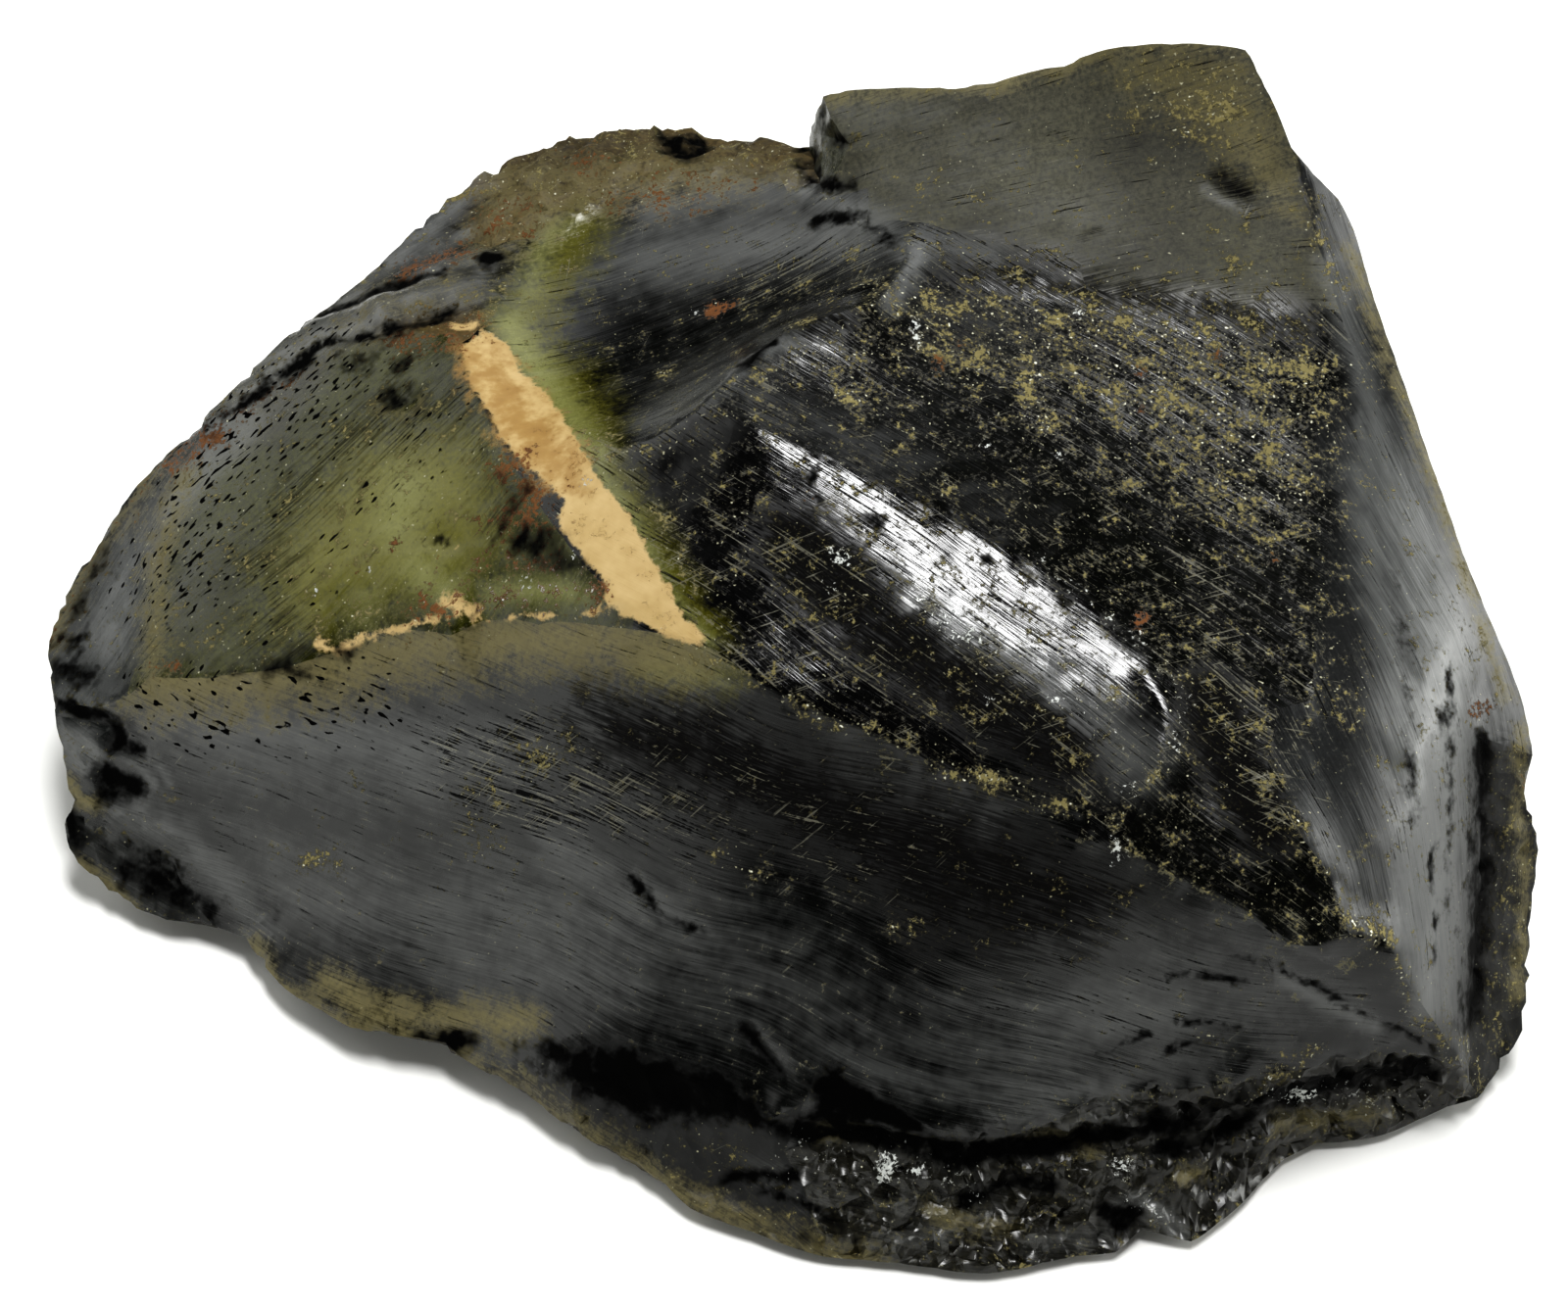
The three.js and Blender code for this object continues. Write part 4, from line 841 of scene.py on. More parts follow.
# The rough crust and the glassy strips behind the olive face.
BACK_LEFT = (
    patch(
        Mark.BROWN, (-20, 33.4), (-8, 34.2), (1, 33), (1.4, 31.4), (-8, 29.6), (-14, 29.4), (-17, 26.6),
        (-22, 26), fade=1.4, strength=0.55,
    ),
    patch(Mark.BROWN, (-38, 15.6), (-28, 24.6), (-21, 26.4), (-20, 23), (-29, 20.4), fade=1.6, strength=0.3),
    patch(Mark.RUST, (-20.8, 30), (-17, 30.5), (-16.6, 27.6), (-20.6, 27.4), fade=1.2, strength=0.58),
    line(Mark.RUST, 1.8, (-11, 30.8), (-6, 30.4), strength=0.62),
    line(Mark.RUST, 1.8, (-14.2, 33.2), (-12.6, 32.8), strength=0.58),
    line(Mark.RUST, 1.4, (-8, 31.6), (-2, 31.4), strength=0.5),
    line(Mark.DARK, 1.6, (-7.6, 34.4), (-6.6, 33.9), (-5.6, 34.4), fade=0.9, strength=0.95, lift=-0.4),
    # Painted grey highlights on the glassy flakes behind the olive face.
    line(Mark.BLOOM, 1.8, (-25.6, 28.4), (-22.6, 30.6), (-20.2, 32.2), fade=0.9, strength=0.9, lift=0.3),
    line(Mark.BLOOM, 0.7, (-26, 26), (-23, 27), (-21, 28.4), fade=0.6),
    line(Mark.RUST, 1.4, (-25.5, 25.4), (-23.4, 26.2), (-21.4, 27), fade=0.8, strength=0.75),
    line(Mark.BLOOM, 1.4, (-24, 25.2), (-21.5, 26), (-20, 26.4), fade=0.8, lift=0.4),
    line(Mark.BLOOM, 1.6, (-27, 23.2), (-23.5, 24), (-20.5, 24.4), fade=0.9, lift=0.5),
    line(Mark.DARK, 1.1, (-20, 26), (-19.3, 26.4), fade=0.6),
    line(Mark.DARK, 0.6, (-26.8, 21.6), (-23.6, 22.2), (-22.2, 22.8), fade=0.5, lift=-0.15),
    line(Mark.BLOOM, 2.2, (-38.4, 15), (-33.5, 19.8), (-30, 21.8), (-27, 22.6), fade=0.8, lift=0.4),
    line(Mark.BLOOM, 1.6, (-30, 24), (-27, 25.8), (-24.4, 27.8), (-21.8, 30.6), fade=0.6, strength=0.9),
    line(Mark.DARK, 0.5, (-31, 22.8), (-27, 24.2), (-22.6, 25.4), fade=0.4, lift=-0.3),
    line(Mark.DARK, 0.5, (-36, 16.6), (-31, 20.6), (-27.4, 21.4), fade=0.4, lift=-0.2),
    line(Mark.RUST, 0.9, (-39, 14.4), (-36.6, 15.8), (-34.4, 17.6), (-32.4, 18.8), fade=0.7, strength=0.6),
    line(Mark.DARK, 0.8, (-38.4, 15), (-36, 16.6), (-34, 18.2), (-31.8, 19.4), fade=0.6, strength=0.7),
)

# The right side, with painted bands of grey sheen and shade from top to bottom, and its thin crusted edge.
RIGHT_SIDE = (
    line(Mark.BLOOM, 2.4, (38.6, 12), (39.8, 5), (41, -1), (41.6, -8), fade=1.4, strength=0.9),
    line(Mark.BLOOM, 1.3, (42.2, 2), (42.8, -3), (43.2, -8), fade=0.7, strength=0.9),
    line(Mark.DARK, 0.7, (41.2, 6), (41.6, 0), (42, -6), (42.2, -11), fade=0.8, strength=0.6),
    line(Mark.DARK, 0.3, (44.6, 0.5), (44.9, -5), (44.7, -10), (44.4, -18), fade=0.4, strength=0.66),
    line(
        Mark.BLOOM, 2.6, (39, 14), (41, 6), (42.6, 0), (43, -8), (42.8, -16), (43, -22), fade=1.6,
        strength=0.85,
    ),
    line(Mark.BLOOM, 2, (44.8, -3), (44.4, -10), (43.6, -18), (43, -24), fade=0.9),
    line(Mark.BLOOM, 0.5, (38.6, 16), (39.6, 11), (41.2, 5), (42, 0), fade=0.5),
    patch(
        Mark.BLOOM, (40, 14), (42.6, 12), (46, 1), (45.8, -12), (44.6, -24), (42.6, -23), (41.6, -12),
        (41.2, 0), fade=1.6, strength=0.92,
    ),
    line(Mark.BLOOM, 1.4, (36.4, 26), (38.4, 20), (40, 14), (41, 9), fade=0.9),
    line(Mark.DARK, 0.9, (44.2, -3.6), (44.8, -6), fade=0.7, strength=0.7),
    line(
        Mark.DARK, 0.2, (44, -12), (43.3, -14), (43.7, -17), (43.8, -22.5), fade=0.3, strength=0.8,
        lift=-0.08,
    ),
    line(Mark.DARK, 1.6, (46.9, -6), (46.9, -14), (46.4, -20), (46, -25), fade=1, strength=0.85),
    line(
        Mark.BROWN, 0.8, (37.9, 27.5), (40.5, 20), (43.5, 12), (46.5, 3), (48.6, -3), fade=0.6, strength=0.7,
    ),
    line(Mark.RUST, 1.1, (46.6, -3.6), fade=0.7, strength=0.8),
    line(Mark.BROWN, 1, (49.6, -5), (49.4, -12), (49.8, -17), (49.2, -23), fade=0.6, strength=0.7),
    line(Mark.RUST, 0.9, (49.6, -8.6), fade=0.6, strength=0.8),
    line(Mark.DUST, 2.2, (38.2, -18), (40, -19), fade=0.9, strength=0.95),
    line(Mark.DUST, 1.1, (41.4, -21), (42, -24), (43.4, -25.6), (45, -27.5), fade=0.8, strength=0.8),
    line(Mark.DUST, 1, (45.6, -26), (45.9, -26.6), fade=0.5, strength=0.95),
)

# The rough foot under the sill, with its crushed, sparkling glass.
FOOT = (
    line(Mark.DARK, 0.7, (-4, -35.4), (-1, -35), (2, -35.4), fade=0.6, lift=-0.3),
    line(Mark.DARK, 0.8, (12, -36.8), (15, -35.6), (18, -35.8), fade=0.6, lift=-0.4),
    line(Mark.DARK, 0.9, (25, -33.4), (28.6, -33), (31, -31.6), fade=0.6, lift=-0.4),
    line(Mark.BROWN, 1.2, (10, -37.6), (12.6, -38.2), (15, -38.4), fade=0.8, strength=0.7, lift=0.2),
    line(Mark.BROWN, 1, (26.6, -35.2), (28, -34.8), fade=0.7, strength=0.75, lift=0.2),
    line(Mark.BROWN, 1.1, (33, -31.6), (36, -31.2), (40, -31), fade=0.8, strength=0.7, lift=0.2),
    line(Mark.BROWN, 0.9, (20, -33.2), (20.8, -33.6), fade=0.6, strength=0.7),
    # Painted grey sheen and painted glints on the foot's crushed glass.
    line(Mark.BLOOM, 1.6, (-1.5, -34.6), (4, -36.6), (9, -37.2), (14, -37), fade=1.6, strength=0.5),
    patch(Mark.BLOOM, (2.6, -29.9), (3.6, -28.9), (4.4, -30.2), (3.4, -30.9), fade=0.4, strength=0.9),
    line(Mark.PAINTED_GLINT, 0.9, (34, -29.8), (35.4, -29.6), fade=0.5, strength=0.85),
    line(Mark.PAINTED_GLINT, 0.6, (37.6, -29.6), (38.6, -29.8), fade=0.5, strength=0.85),
    patch(Mark.BROWN, (1.2, -32), (3, -31.7), (5.4, -32), (6, -32.8), (2.4, -33), fade=0.5, lift=0.2),
    patch(Mark.BROWN, (16.2, -33), (18, -32.3), (19.6, -32.5), (17, -33.6), fade=0.5, lift=0.2),
    line(Mark.PAINTED_GLINT, 1.2, (6.6, -34.9), (7.2, -34), fade=0.4, lift=0.2),
    line(Mark.PAINTED_GLINT, 0.6, (8.6, -34.9), (9.6, -34.9), fade=0.4),
    line(Mark.PAINTED_GLINT, 0.4, (3.4, -33.4), (4.4, -33.4), fade=0.4),
    line(Mark.PAINTED_GLINT, 0.5, (1.3, -33.2), fade=0.4, strength=0.9),
    line(Mark.PAINTED_GLINT, 0.6, (10.6, -35.3), fade=0.5, strength=0.85),
    line(Mark.PAINTED_GLINT, 1.3, (22.2, -34.6), (22.8, -34.4), fade=0.6, strength=0.7, lift=0.2),
    line(Mark.BLOOM, 1.2, (22.6, -36.8), (24.4, -37), (26, -38.2), (26.6, -39), fade=0.4, lift=0.2),
    line(Mark.PAINTED_GLINT, 1, (23, -36.8), (24.4, -37), (26, -38.2), fade=0.5, strength=0.5),
    line(Mark.DARK, 1.7, (21.6, -37.6), (22.6, -38.2), (23.4, -37.4), fade=0.8, lift=-0.5),
    line(Mark.DARK, 0.5, (-1.5, -36.2), (1, -36.8), (3.4, -38.2), (4.8, -39.4), fade=0.5, lift=-0.2),
    line(Mark.BLOOM, 1.6, (6, -39.8), (10, -39.2), fade=1, strength=0.65),
    line(Mark.BLOOM, 1.2, (17, -39.6), (22, -39.2), fade=0.9, strength=0.75),
    line(Mark.DARK, 1.2, (1.2, -39.2), fade=0.8, strength=0.9),
    line(Mark.DUST, 2.4, (36, -29.6), (39, -29.8), (42, -29.2), strength=0.5),
    line(Mark.PAINTED_GLINT, 2, (32, -29.5), (38, -30), (43, -29.6), strength=0.36),
    line(Mark.PAINTED_GLINT, 2.4, (0, -33.6), (10, -35.4), (14, -36), strength=0.3),
)

TRACES: tuple[Trace, ...] = (
    *STRIPE, *OLIVE_FACE, *LEFT_END, *SLATE, *STREAKED, *BLACK_FACE, *SCOOP, *BLOCK, *BACK_LEFT, *RIGHT_SIDE,
    *FOOT,
)


# ---- The lump ------------------------------------------------------------------------------------


@dataclass(frozen=True)
class Relief:
    """A pattern of heights, the same at every run.

    Attributes:
        size: Size in millimetres of its widest lumps.
        fall: How fast its finer lumps get lower.
        rounds: How many times it adds lumps of half the size.
    """

    size: float
    fall: float
    rounds: int

    def height(self, point: np.ndarray) -> float:
        """Height of the pattern at a point given in millimetres, from about -1 to 1."""
        return noise.fractal(Vector(point) / self.size, self.fall, 2.0, self.rounds)


@dataclass
class Surface:
    """The smoothed surface of the lump, as arrays.

    Attributes:
        points: Place of every point in millimetres.
        normals: Outward direction at every point.
        places: Where every point lies on the board.
        seen: Which points the eye of the board sees.
        off_ridge: Distance of every point from the nearest ridge, in millimetres.
        share: How much of every point each facet owns.
        face_facet: Number of every face's facet.
        corner_facet: Number of every corner's facet.
        corner_point: Number of every corner's point.
    """

    points: np.ndarray
    normals: np.ndarray
    places: np.ndarray
    seen: np.ndarray
    off_ridge: np.ndarray
    share: np.ndarray
    face_facet: np.ndarray
    corner_facet: np.ndarray
    corner_point: np.ndarray


@dataclass
class Lump:
    """The broken lump itself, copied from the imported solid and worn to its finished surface.

    Attributes:
        node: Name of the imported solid.
        body: Body that it rides on.
        slot: Slot that its finish belongs to.
        name: Name of the finished piece.
        weld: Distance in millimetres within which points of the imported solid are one.
        far_cost: What a millimetre costs when facets spread from their middles.
        turn_cost_deg: Turn between faces that costs as much as 1 / far_cost millimetres, and
            eight times as much when it is doubled, so that facets meet at the ridges.
        ridge_deg: Angle between neighbouring faces past which an edge counts as a ridge.
        ridge_steps: Points noted along each edge of a ridge.
        keen_deg: Angle past which a ridge stays keen.
        worn_crease: Crease of a worn ridge.
        keen_crease: Crease of a keen ridge.
        levels: Rounds of the subdivision surface.
        smooth_deg: Angle up to which neighbouring faces shade as one surface.
        clear: How far off the surface a line of sight starts, in millimetres.
        ripples: The waves that the break left in glass.
        crust: The lumps of rough crust.
        chips: The small chips along the ridges.
        chip_reach: How far from a ridge chips reach, in millimetres.
        rub: How thickly scuffs lie on a ridge, and how far from it they reach, in millimetres.
        run_off: Distances from a ridge in millimetres past which facets run together, and
            within which they don't.
        blend_rounds: Rounds of averaging where facets run together.
        bend: How far the grain wanders from a straight line, and over what length, in millimetres.
        seed: Seed of that wandering. Without one Blender takes it from the clock.
    """

    node: str = "slag_glass_chunk"
    body: str = "root"
    slot: str = "slag_glass"
    name: str = "glass_chunk"
    weld: float = 0.005
    far_cost: float = 0.05
    turn_cost_deg: float = 5.0
    ridge_deg: float = 13.0
    ridge_steps: int = 6
    keen_deg: float = 42.0
    worn_crease: float = 0.6
    keen_crease: float = 0.85
    levels: int = 2
    smooth_deg: float = 38.0
    clear: float = 0.05
    ripples: Relief = Relief(9.0, 1.0, 2)
    crust: Relief = Relief(1.6, 0.8, 3)
    chips: Relief = Relief(1.1, 0.9, 2)
    chip_reach: float = 1.1
    rub: Pair = (0.55, 0.9)
    run_off: Pair = (2.5, 0.6)
    blend_rounds: int = 14
    bend: Pair = (1.2, 13.0)
    seed: int = 5
    piece: bpy.types.Object = field(init=False)
    ridges: KDTree = field(init=False)
    surface: Surface = field(init=False)

    def build(self) -> bpy.types.Object:
        """Make the finished piece.

        Returns:
            The piece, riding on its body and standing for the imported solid.
        """
        self.copy_solid()
        self.name_facets()
        self.find_ridges()
        self.wear_ridges()
        self.read_surface()
        self.shape_relief()
        self.write_marks()
        self.settle()
        return self.piece

    def copy_solid(self) -> None:
        """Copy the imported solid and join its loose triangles."""
        bpy.ops.object.select_all(action="DESELECT")
        solid = frame["nodes"][self.node]
        solid.select_set(True)
        bpy.context.view_layer.objects.active = solid
        bpy.ops.object.duplicate()
        self.piece = bpy.context.active_object
        self.piece.name = self.name
        self.piece.data.name = self.name
        self.piece.parent = None
        for key in list(self.piece.keys()):
            if key.startswith("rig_"):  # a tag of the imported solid
                del self.piece[key]
        bpy.ops.object.mode_set(mode="EDIT")
        bpy.ops.mesh.select_all(action="SELECT")
        bpy.ops.mesh.remove_doubles(threshold=self.weld * MM)
        bpy.ops.mesh.normals_make_consistent(inside=False)
        bpy.ops.object.mode_set(mode="OBJECT")
        bpy.ops.mesh.customdata_custom_splitnormals_clear()
        self.piece.data.materials.clear()

    def edge_owners(self) -> dict[tuple[int, int], list[int]]:
        """List the faces that meet at each edge.

        Returns:
            Numbers of the faces, by the numbers of the edge's two points.
        """
        owners: dict[tuple[int, int], list[int]] = {}
        for polygon in self.piece.data.polygons:
            for key in polygon.edge_keys:
                owners.setdefault(key, []).append(polygon.index)
        return owners

    def name_facets(self) -> None:
        """Spread each facet's number over its faces, from its middle out to its ridges."""
        mesh = self.piece.data
        centres = read(mesh.polygons, "center", 3) / MM
        normals = read(mesh.polygons, "normal", 3)
        steps: list[list[tuple[float, int]]] = [[] for _ in mesh.polygons]
        for a, b in (pair for pair in self.edge_owners().values() if len(pair) == 2):
            turn = math.degrees(math.acos(min(1.0, float(normals[a] @ normals[b]))))
            far = float(np.linalg.norm(centres[a] - centres[b]))
            cost = far * self.far_cost + (turn / self.turn_cost_deg) ** 3
            steps[a].append((cost, b))
            steps[b].append((cost, a))
        label = np.full(len(mesh.polygons), -1, np.int32)
        queue: list[tuple[float, int, int]] = []
        for number, facet in enumerate(FACETS.values()):
            for spot in facet.spots:
                nearest = int(np.argmin(np.linalg.norm(centres - np.array(spot), axis=1)))
                heapq.heappush(queue, (0.0, nearest, number))
        while queue:
            cost, polygon, number = heapq.heappop(queue)
            if label[polygon] >= 0:
                continue
            label[polygon] = number
            for step, beyond in steps[polygon]:
                if label[beyond] < 0:
                    heapq.heappush(queue, (cost + step, beyond, number))
        mesh.attributes.new("facet", "INT", "FACE").data.foreach_set("value", label)

    def find_ridges(self) -> None:
        """Note points along every ridge, to know later how near a place is to one."""
        mesh = self.piece.data
        noted: list[Vector] = []
        for (a, b), pair in self.edge_owners().items():
            turn = mesh.polygons[pair[0]].normal.angle(mesh.polygons[pair[-1]].normal)
            if math.degrees(turn) > self.ridge_deg:
                start, end = mesh.vertices[a].co / MM, mesh.vertices[b].co / MM
                noted += [start.lerp(end, k / self.ridge_steps) for k in range(self.ridge_steps)]
        self.ridges = KDTree(len(noted))
        for index, spot in enumerate(noted):
            self.ridges.insert(spot, index)
        self.ridges.balance()

    def wear_ridges(self) -> None:
        """Crease the ridges by their sharpness and smooth the rest with a subdivision surface."""
        bpy.ops.object.mode_set(mode="EDIT")
        bpy.context.tool_settings.mesh_select_mode = (False, True, False)
        for angle, crease in ((self.ridge_deg, self.worn_crease), (self.keen_deg, self.keen_crease)):
            bpy.ops.mesh.select_all(action="DESELECT")
            bpy.ops.mesh.edges_select_sharp(sharpness=math.radians(angle))
            bpy.ops.transform.edge_crease(value=-1.0)  # clears the crease that the next line adds to
            bpy.ops.transform.edge_crease(value=crease)
        bpy.ops.object.mode_set(mode="OBJECT")
        modifier = self.piece.modifiers.new("worn ridges", "SUBSURF")
        modifier.levels = self.levels
        modifier.render_levels = self.levels
        bpy.ops.object.modifier_apply(modifier=modifier.name)

    def read_surface(self) -> None:
        """Read the points of the smoothed surface, who owns them and what the eye sees of them."""
        mesh = self.piece.data
        points = read(mesh.vertices, "co", 3) / MM
        normals = read(mesh.vertices, "normal", 3)
        face_facet = read(mesh.attributes["facet"].data, "value", kind=np.int32)
        corner_point = read(mesh.loops, "vertex_index", kind=np.int32)
        corner_facet = np.repeat(face_facet, read(mesh.polygons, "loop_total", kind=np.int32))
        share = np.zeros((len(points), len(FACETS)), np.float32)
        np.add.at(share, (corner_point, corner_facet), 1.0)
        share /= share.sum(axis=1, keepdims=True)
        tree = BVHTree.FromPolygons(points.tolist(), [list(p.vertices) for p in mesh.polygons])
        eye = Vector(BOARD.eye)
        seen = np.zeros(len(points), bool)
        for index, (point, normal) in enumerate(zip(points, normals)):
            spot, outward = Vector(point), Vector(normal)
            sight = eye - spot
            if outward.dot(sight) > 0:
                seen[index] = tree.ray_cast(spot + outward * self.clear, sight)[0] is None
        off_ridge = np.array([self.ridges.find(point)[2] for point in points])
        places = BOARD.places(points)
        self.surface = Surface(
            points, normals, places, seen, off_ridge, share, face_facet, corner_facet, corner_point
        )

    def shape_relief(self) -> None:
        """Raise the ripples and the crust, bite chips out of the ridges and sink what is sunk."""
        surface = self.surface
        waves, lumps, nibble = (surface.share @ of_facets(name) for name in ("waves", "lumps", "nibble"))
        push = np.zeros(len(surface.points))
        for index, point in enumerate(surface.points):
            if waves[index] > 0:
                push[index] += waves[index] * self.ripples.height(point)
            if lumps[index] > 0:
                push[index] += lumps[index] * self.crust.height(point)
        near = ramp(surface.off_ridge, self.chip_reach, 0.0)
        for index in np.flatnonzero(surface.off_ridge < self.chip_reach):
            bite = min(max(self.chips.height(surface.points[index]), 0.0), 1.0)
            push[index] -= nibble[index] * near[index] * bite
        for trace in TRACES:
            if trace.lift:
                push += trace.lift * ramp(self.cover(trace), 0.0, 1.0)
        push[surface.share[:, FACET_NUMBERS["base"]] > 0] = 0.0
        surface.points += surface.normals * push[:, None]
        self.piece.data.vertices.foreach_set("co", (surface.points * MM).ravel())
        self.piece.data.update()

    def write_marks(self) -> None:
        """Write what the finish reads at every corner: tint, gloss, crust, grain and each mark."""
        surface = self.surface
        self.write("tint", "FLOAT_COLOR", self.blend(np.array([linear(tint) for tint in of_facets("tint")])))
        self.write("gloss", "FLOAT", self.blend(of_facets("gloss")))
        self.write("broken", "FLOAT", self.blend(of_facets("lumps")))
        self.write("grain", "FLOAT_VECTOR", self.grain())
        marks = {mark: np.zeros(len(surface.corner_point)) for mark in Mark}
        marks[Mark.DUST] += self.blend(of_facets("dust")).ravel()
        marks[Mark.SCRATCH] += self.blend(of_facets("scratches")).ravel()
        rub, rub_reach = self.rub
        marks[Mark.RIDGE] += rub * ramp(surface.off_ridge, rub_reach, 0.0)[surface.corner_point]
        for trace in TRACES:
            if trace.mark is None:
                continue
            cover = self.cover(trace)[surface.corner_point]
            if trace.on:
                kept = np.isin(surface.corner_facet, [FACET_NUMBERS[name] for name in trace.on])
                cover = np.where(kept, cover, 0.0)
            marks[trace.mark] = np.maximum(marks[trace.mark], cover)
        for mark, values in marks.items():
            self.write(mark.value, "FLOAT", values)

    def blend(self, values: np.ndarray) -> np.ndarray:
        """Give every corner its facet's values, run together where no ridge parts two facets.

        Args:
            values: One number or one row for each facet.

        Returns:
            One row for each corner.
        """
        surface = self.surface
        values = values.reshape(len(FACETS), -1)
        ends = read(self.piece.data.edges, "vertices", 2, np.int32)
        spread = surface.share @ values
        count = np.bincount(ends.ravel(), minlength=len(spread))[:, None]
        for _ in range(self.blend_rounds):
            total = np.zeros_like(spread)
            np.add.at(total, ends[:, 0], spread[ends[:, 1]])
            np.add.at(total, ends[:, 1], spread[ends[:, 0]])
            spread = 0.5 * spread + 0.5 * total / count
        kept = ramp(surface.off_ridge, *self.run_off)[surface.corner_point, None]
        return kept * values[surface.corner_facet] + (1 - kept) * spread[surface.corner_point]

    def cover(self, trace: Trace) -> np.ndarray:
        """Lay a trace on the seen side of the lump.

        Args:
            trace: The trace to lay.

        Returns:
            Its share at every point, 0 on the unseen side.
        """
        surface = self.surface
        places = np.array(trace.places)
        margin = trace.width / 2 + trace.fade
        near = np.all(
            (surface.places > places.min(0) - margin) & (surface.places < places.max(0) + margin), axis=1
        )
        near &= surface.seen
        cover = np.zeros(len(surface.points))
        cover[near] = trace.cover(surface.places[near])
        return cover

    def grain(self) -> np.ndarray:
        """Lay coordinates along each facet's scratches.

        Returns:
            For every corner, metres across the scratches, along them and off the facet.
        """
        mesh, surface = self.piece.data, self.surface
        weighted = read(mesh.polygons, "normal", 3) * read(mesh.polygons, "area")[:, None]
        far, span = self.bend
        noise.seed_set(self.seed)
        sway = np.array([noise.noise_vector(point / span) for point in surface.points])
        swayed = surface.points + far * sway
        laid = np.zeros((len(surface.corner_point), 3))
        for number, facet in enumerate(FACETS.values()):
            outward = weighted[surface.face_facet == number].sum(axis=0)
            outward /= np.linalg.norm(outward)
            angle = math.radians(facet.grain_deg)
            along = np.array([math.cos(angle), 0.0, 0.0]) + math.sin(angle) * BOARD.up
            along -= outward * (along @ outward)
            along /= np.linalg.norm(along)
            axes = np.stack([np.cross(outward, along), along, outward], axis=1)
            here = surface.corner_facet == number
            laid[here] = (swayed[surface.corner_point[here]] @ axes) * MM
        return laid

    def write(self, name: str, kind: str, values: np.ndarray) -> None:
        """Write one attribute of the piece's corners.

        Args:
            name: Name that the finish reads it by.
            kind: Blender's name for its type.
            values: One number or one row for each corner.
        """
        layer = self.piece.data.attributes.new(name, kind, "CORNER")
        key = {"FLOAT": "value", "FLOAT_COLOR": "color", "FLOAT_VECTOR": "vector"}[kind]
        layer.data.foreach_set(key, values.astype(np.float32).ravel())

    def settle(self) -> None:
        """Shade the surface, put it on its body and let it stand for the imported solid."""
        bpy.ops.object.select_all(action="DESELECT")
        self.piece.select_set(True)
        bpy.context.view_layer.objects.active = self.piece
        bpy.ops.object.shade_smooth_by_angle(angle=math.radians(self.smooth_deg))
        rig.ride(self.piece, self.body)
        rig.replaces(self.piece, self.node)
        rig.slot(self.piece, self.slot)


# ---- The finish ----------------------------------------------------------------------------------


class Pattern(Enum):
    """A pattern in the finish, about 0.5 in its middle."""

    GRIT = "clumps of dust specks"
    BLOTCH = "patches of dust"
    SPARK = "single bright grains"
    CLOUD = "clouds in the glass"
    HAIR = "scratches along the grain"
    CROSS = "the few scratches that cross them"
    FLOW = "ripples along the grain"
    PORE = "drawn-out bubble pits"


@dataclass(frozen=True)
class Weave:
    """How a pattern is drawn.

    Attributes:
        size: Its size in millimetres, across the grain where it follows the grain.
        along: Its size in millimetres along the grain, or 0 where it has no direction.
        turn_deg: How far it is turned from the grain.
        detail: Rounds of finer detail.
        rough: How strong the finer detail is.
    """

    size: float
    along: float = 0.0
    turn_deg: float = 0.0
    detail: float = 2.0
    rough: float = 0.5


# Real scratches and dust specks are a few hundredths of a millimetre wide, which is too fine to show,
# so they are drawn several times as wide.
WEAVES = {
    Pattern.GRIT: Weave(0.34, detail=3.0, rough=0.68),
    Pattern.BLOTCH: Weave(1.6, rough=0.6),
    Pattern.CLOUD: Weave(9.0),
    Pattern.SPARK: Weave(0.22, detail=0.0),
    Pattern.HAIR: Weave(0.13, 4.0),
    Pattern.CROSS: Weave(0.13, 4.0, turn_deg=58.0),
    Pattern.FLOW: Weave(1.3, 7.0),
    Pattern.PORE: Weave(0.32, 0.85, detail=0.0),
}


@dataclass(frozen=True)
class Coat:
    """One layer of the finish over the coats before it: a thing that lies on or in the glass, or a painted sheen,
    glint or shade.

    Attributes:
        mark: The mark whose share says how thickly it lies.
        colours: Its two colours, mixed in blotches.
        roughness: Roughness of its surface.
        soft: How softly it ends, as a share.
        breaks: How much each pattern breaks it up.
        level: Share at which it covers half of the glass.
        depth: How fully it hides what lies under it.
        height: Millimetres that it stands proud of the glass.
        swallow: How much of the shine is lost in it, as in a hollow or a scratch, from 0 to 1.
    """

    mark: Mark
    colours: tuple[str, str]
    roughness: float
    soft: float
    breaks: dict[Pattern, float]
    level: float = 0.5
    depth: float = 1.0
    height: float = 0.0
    swallow: float = 0.0


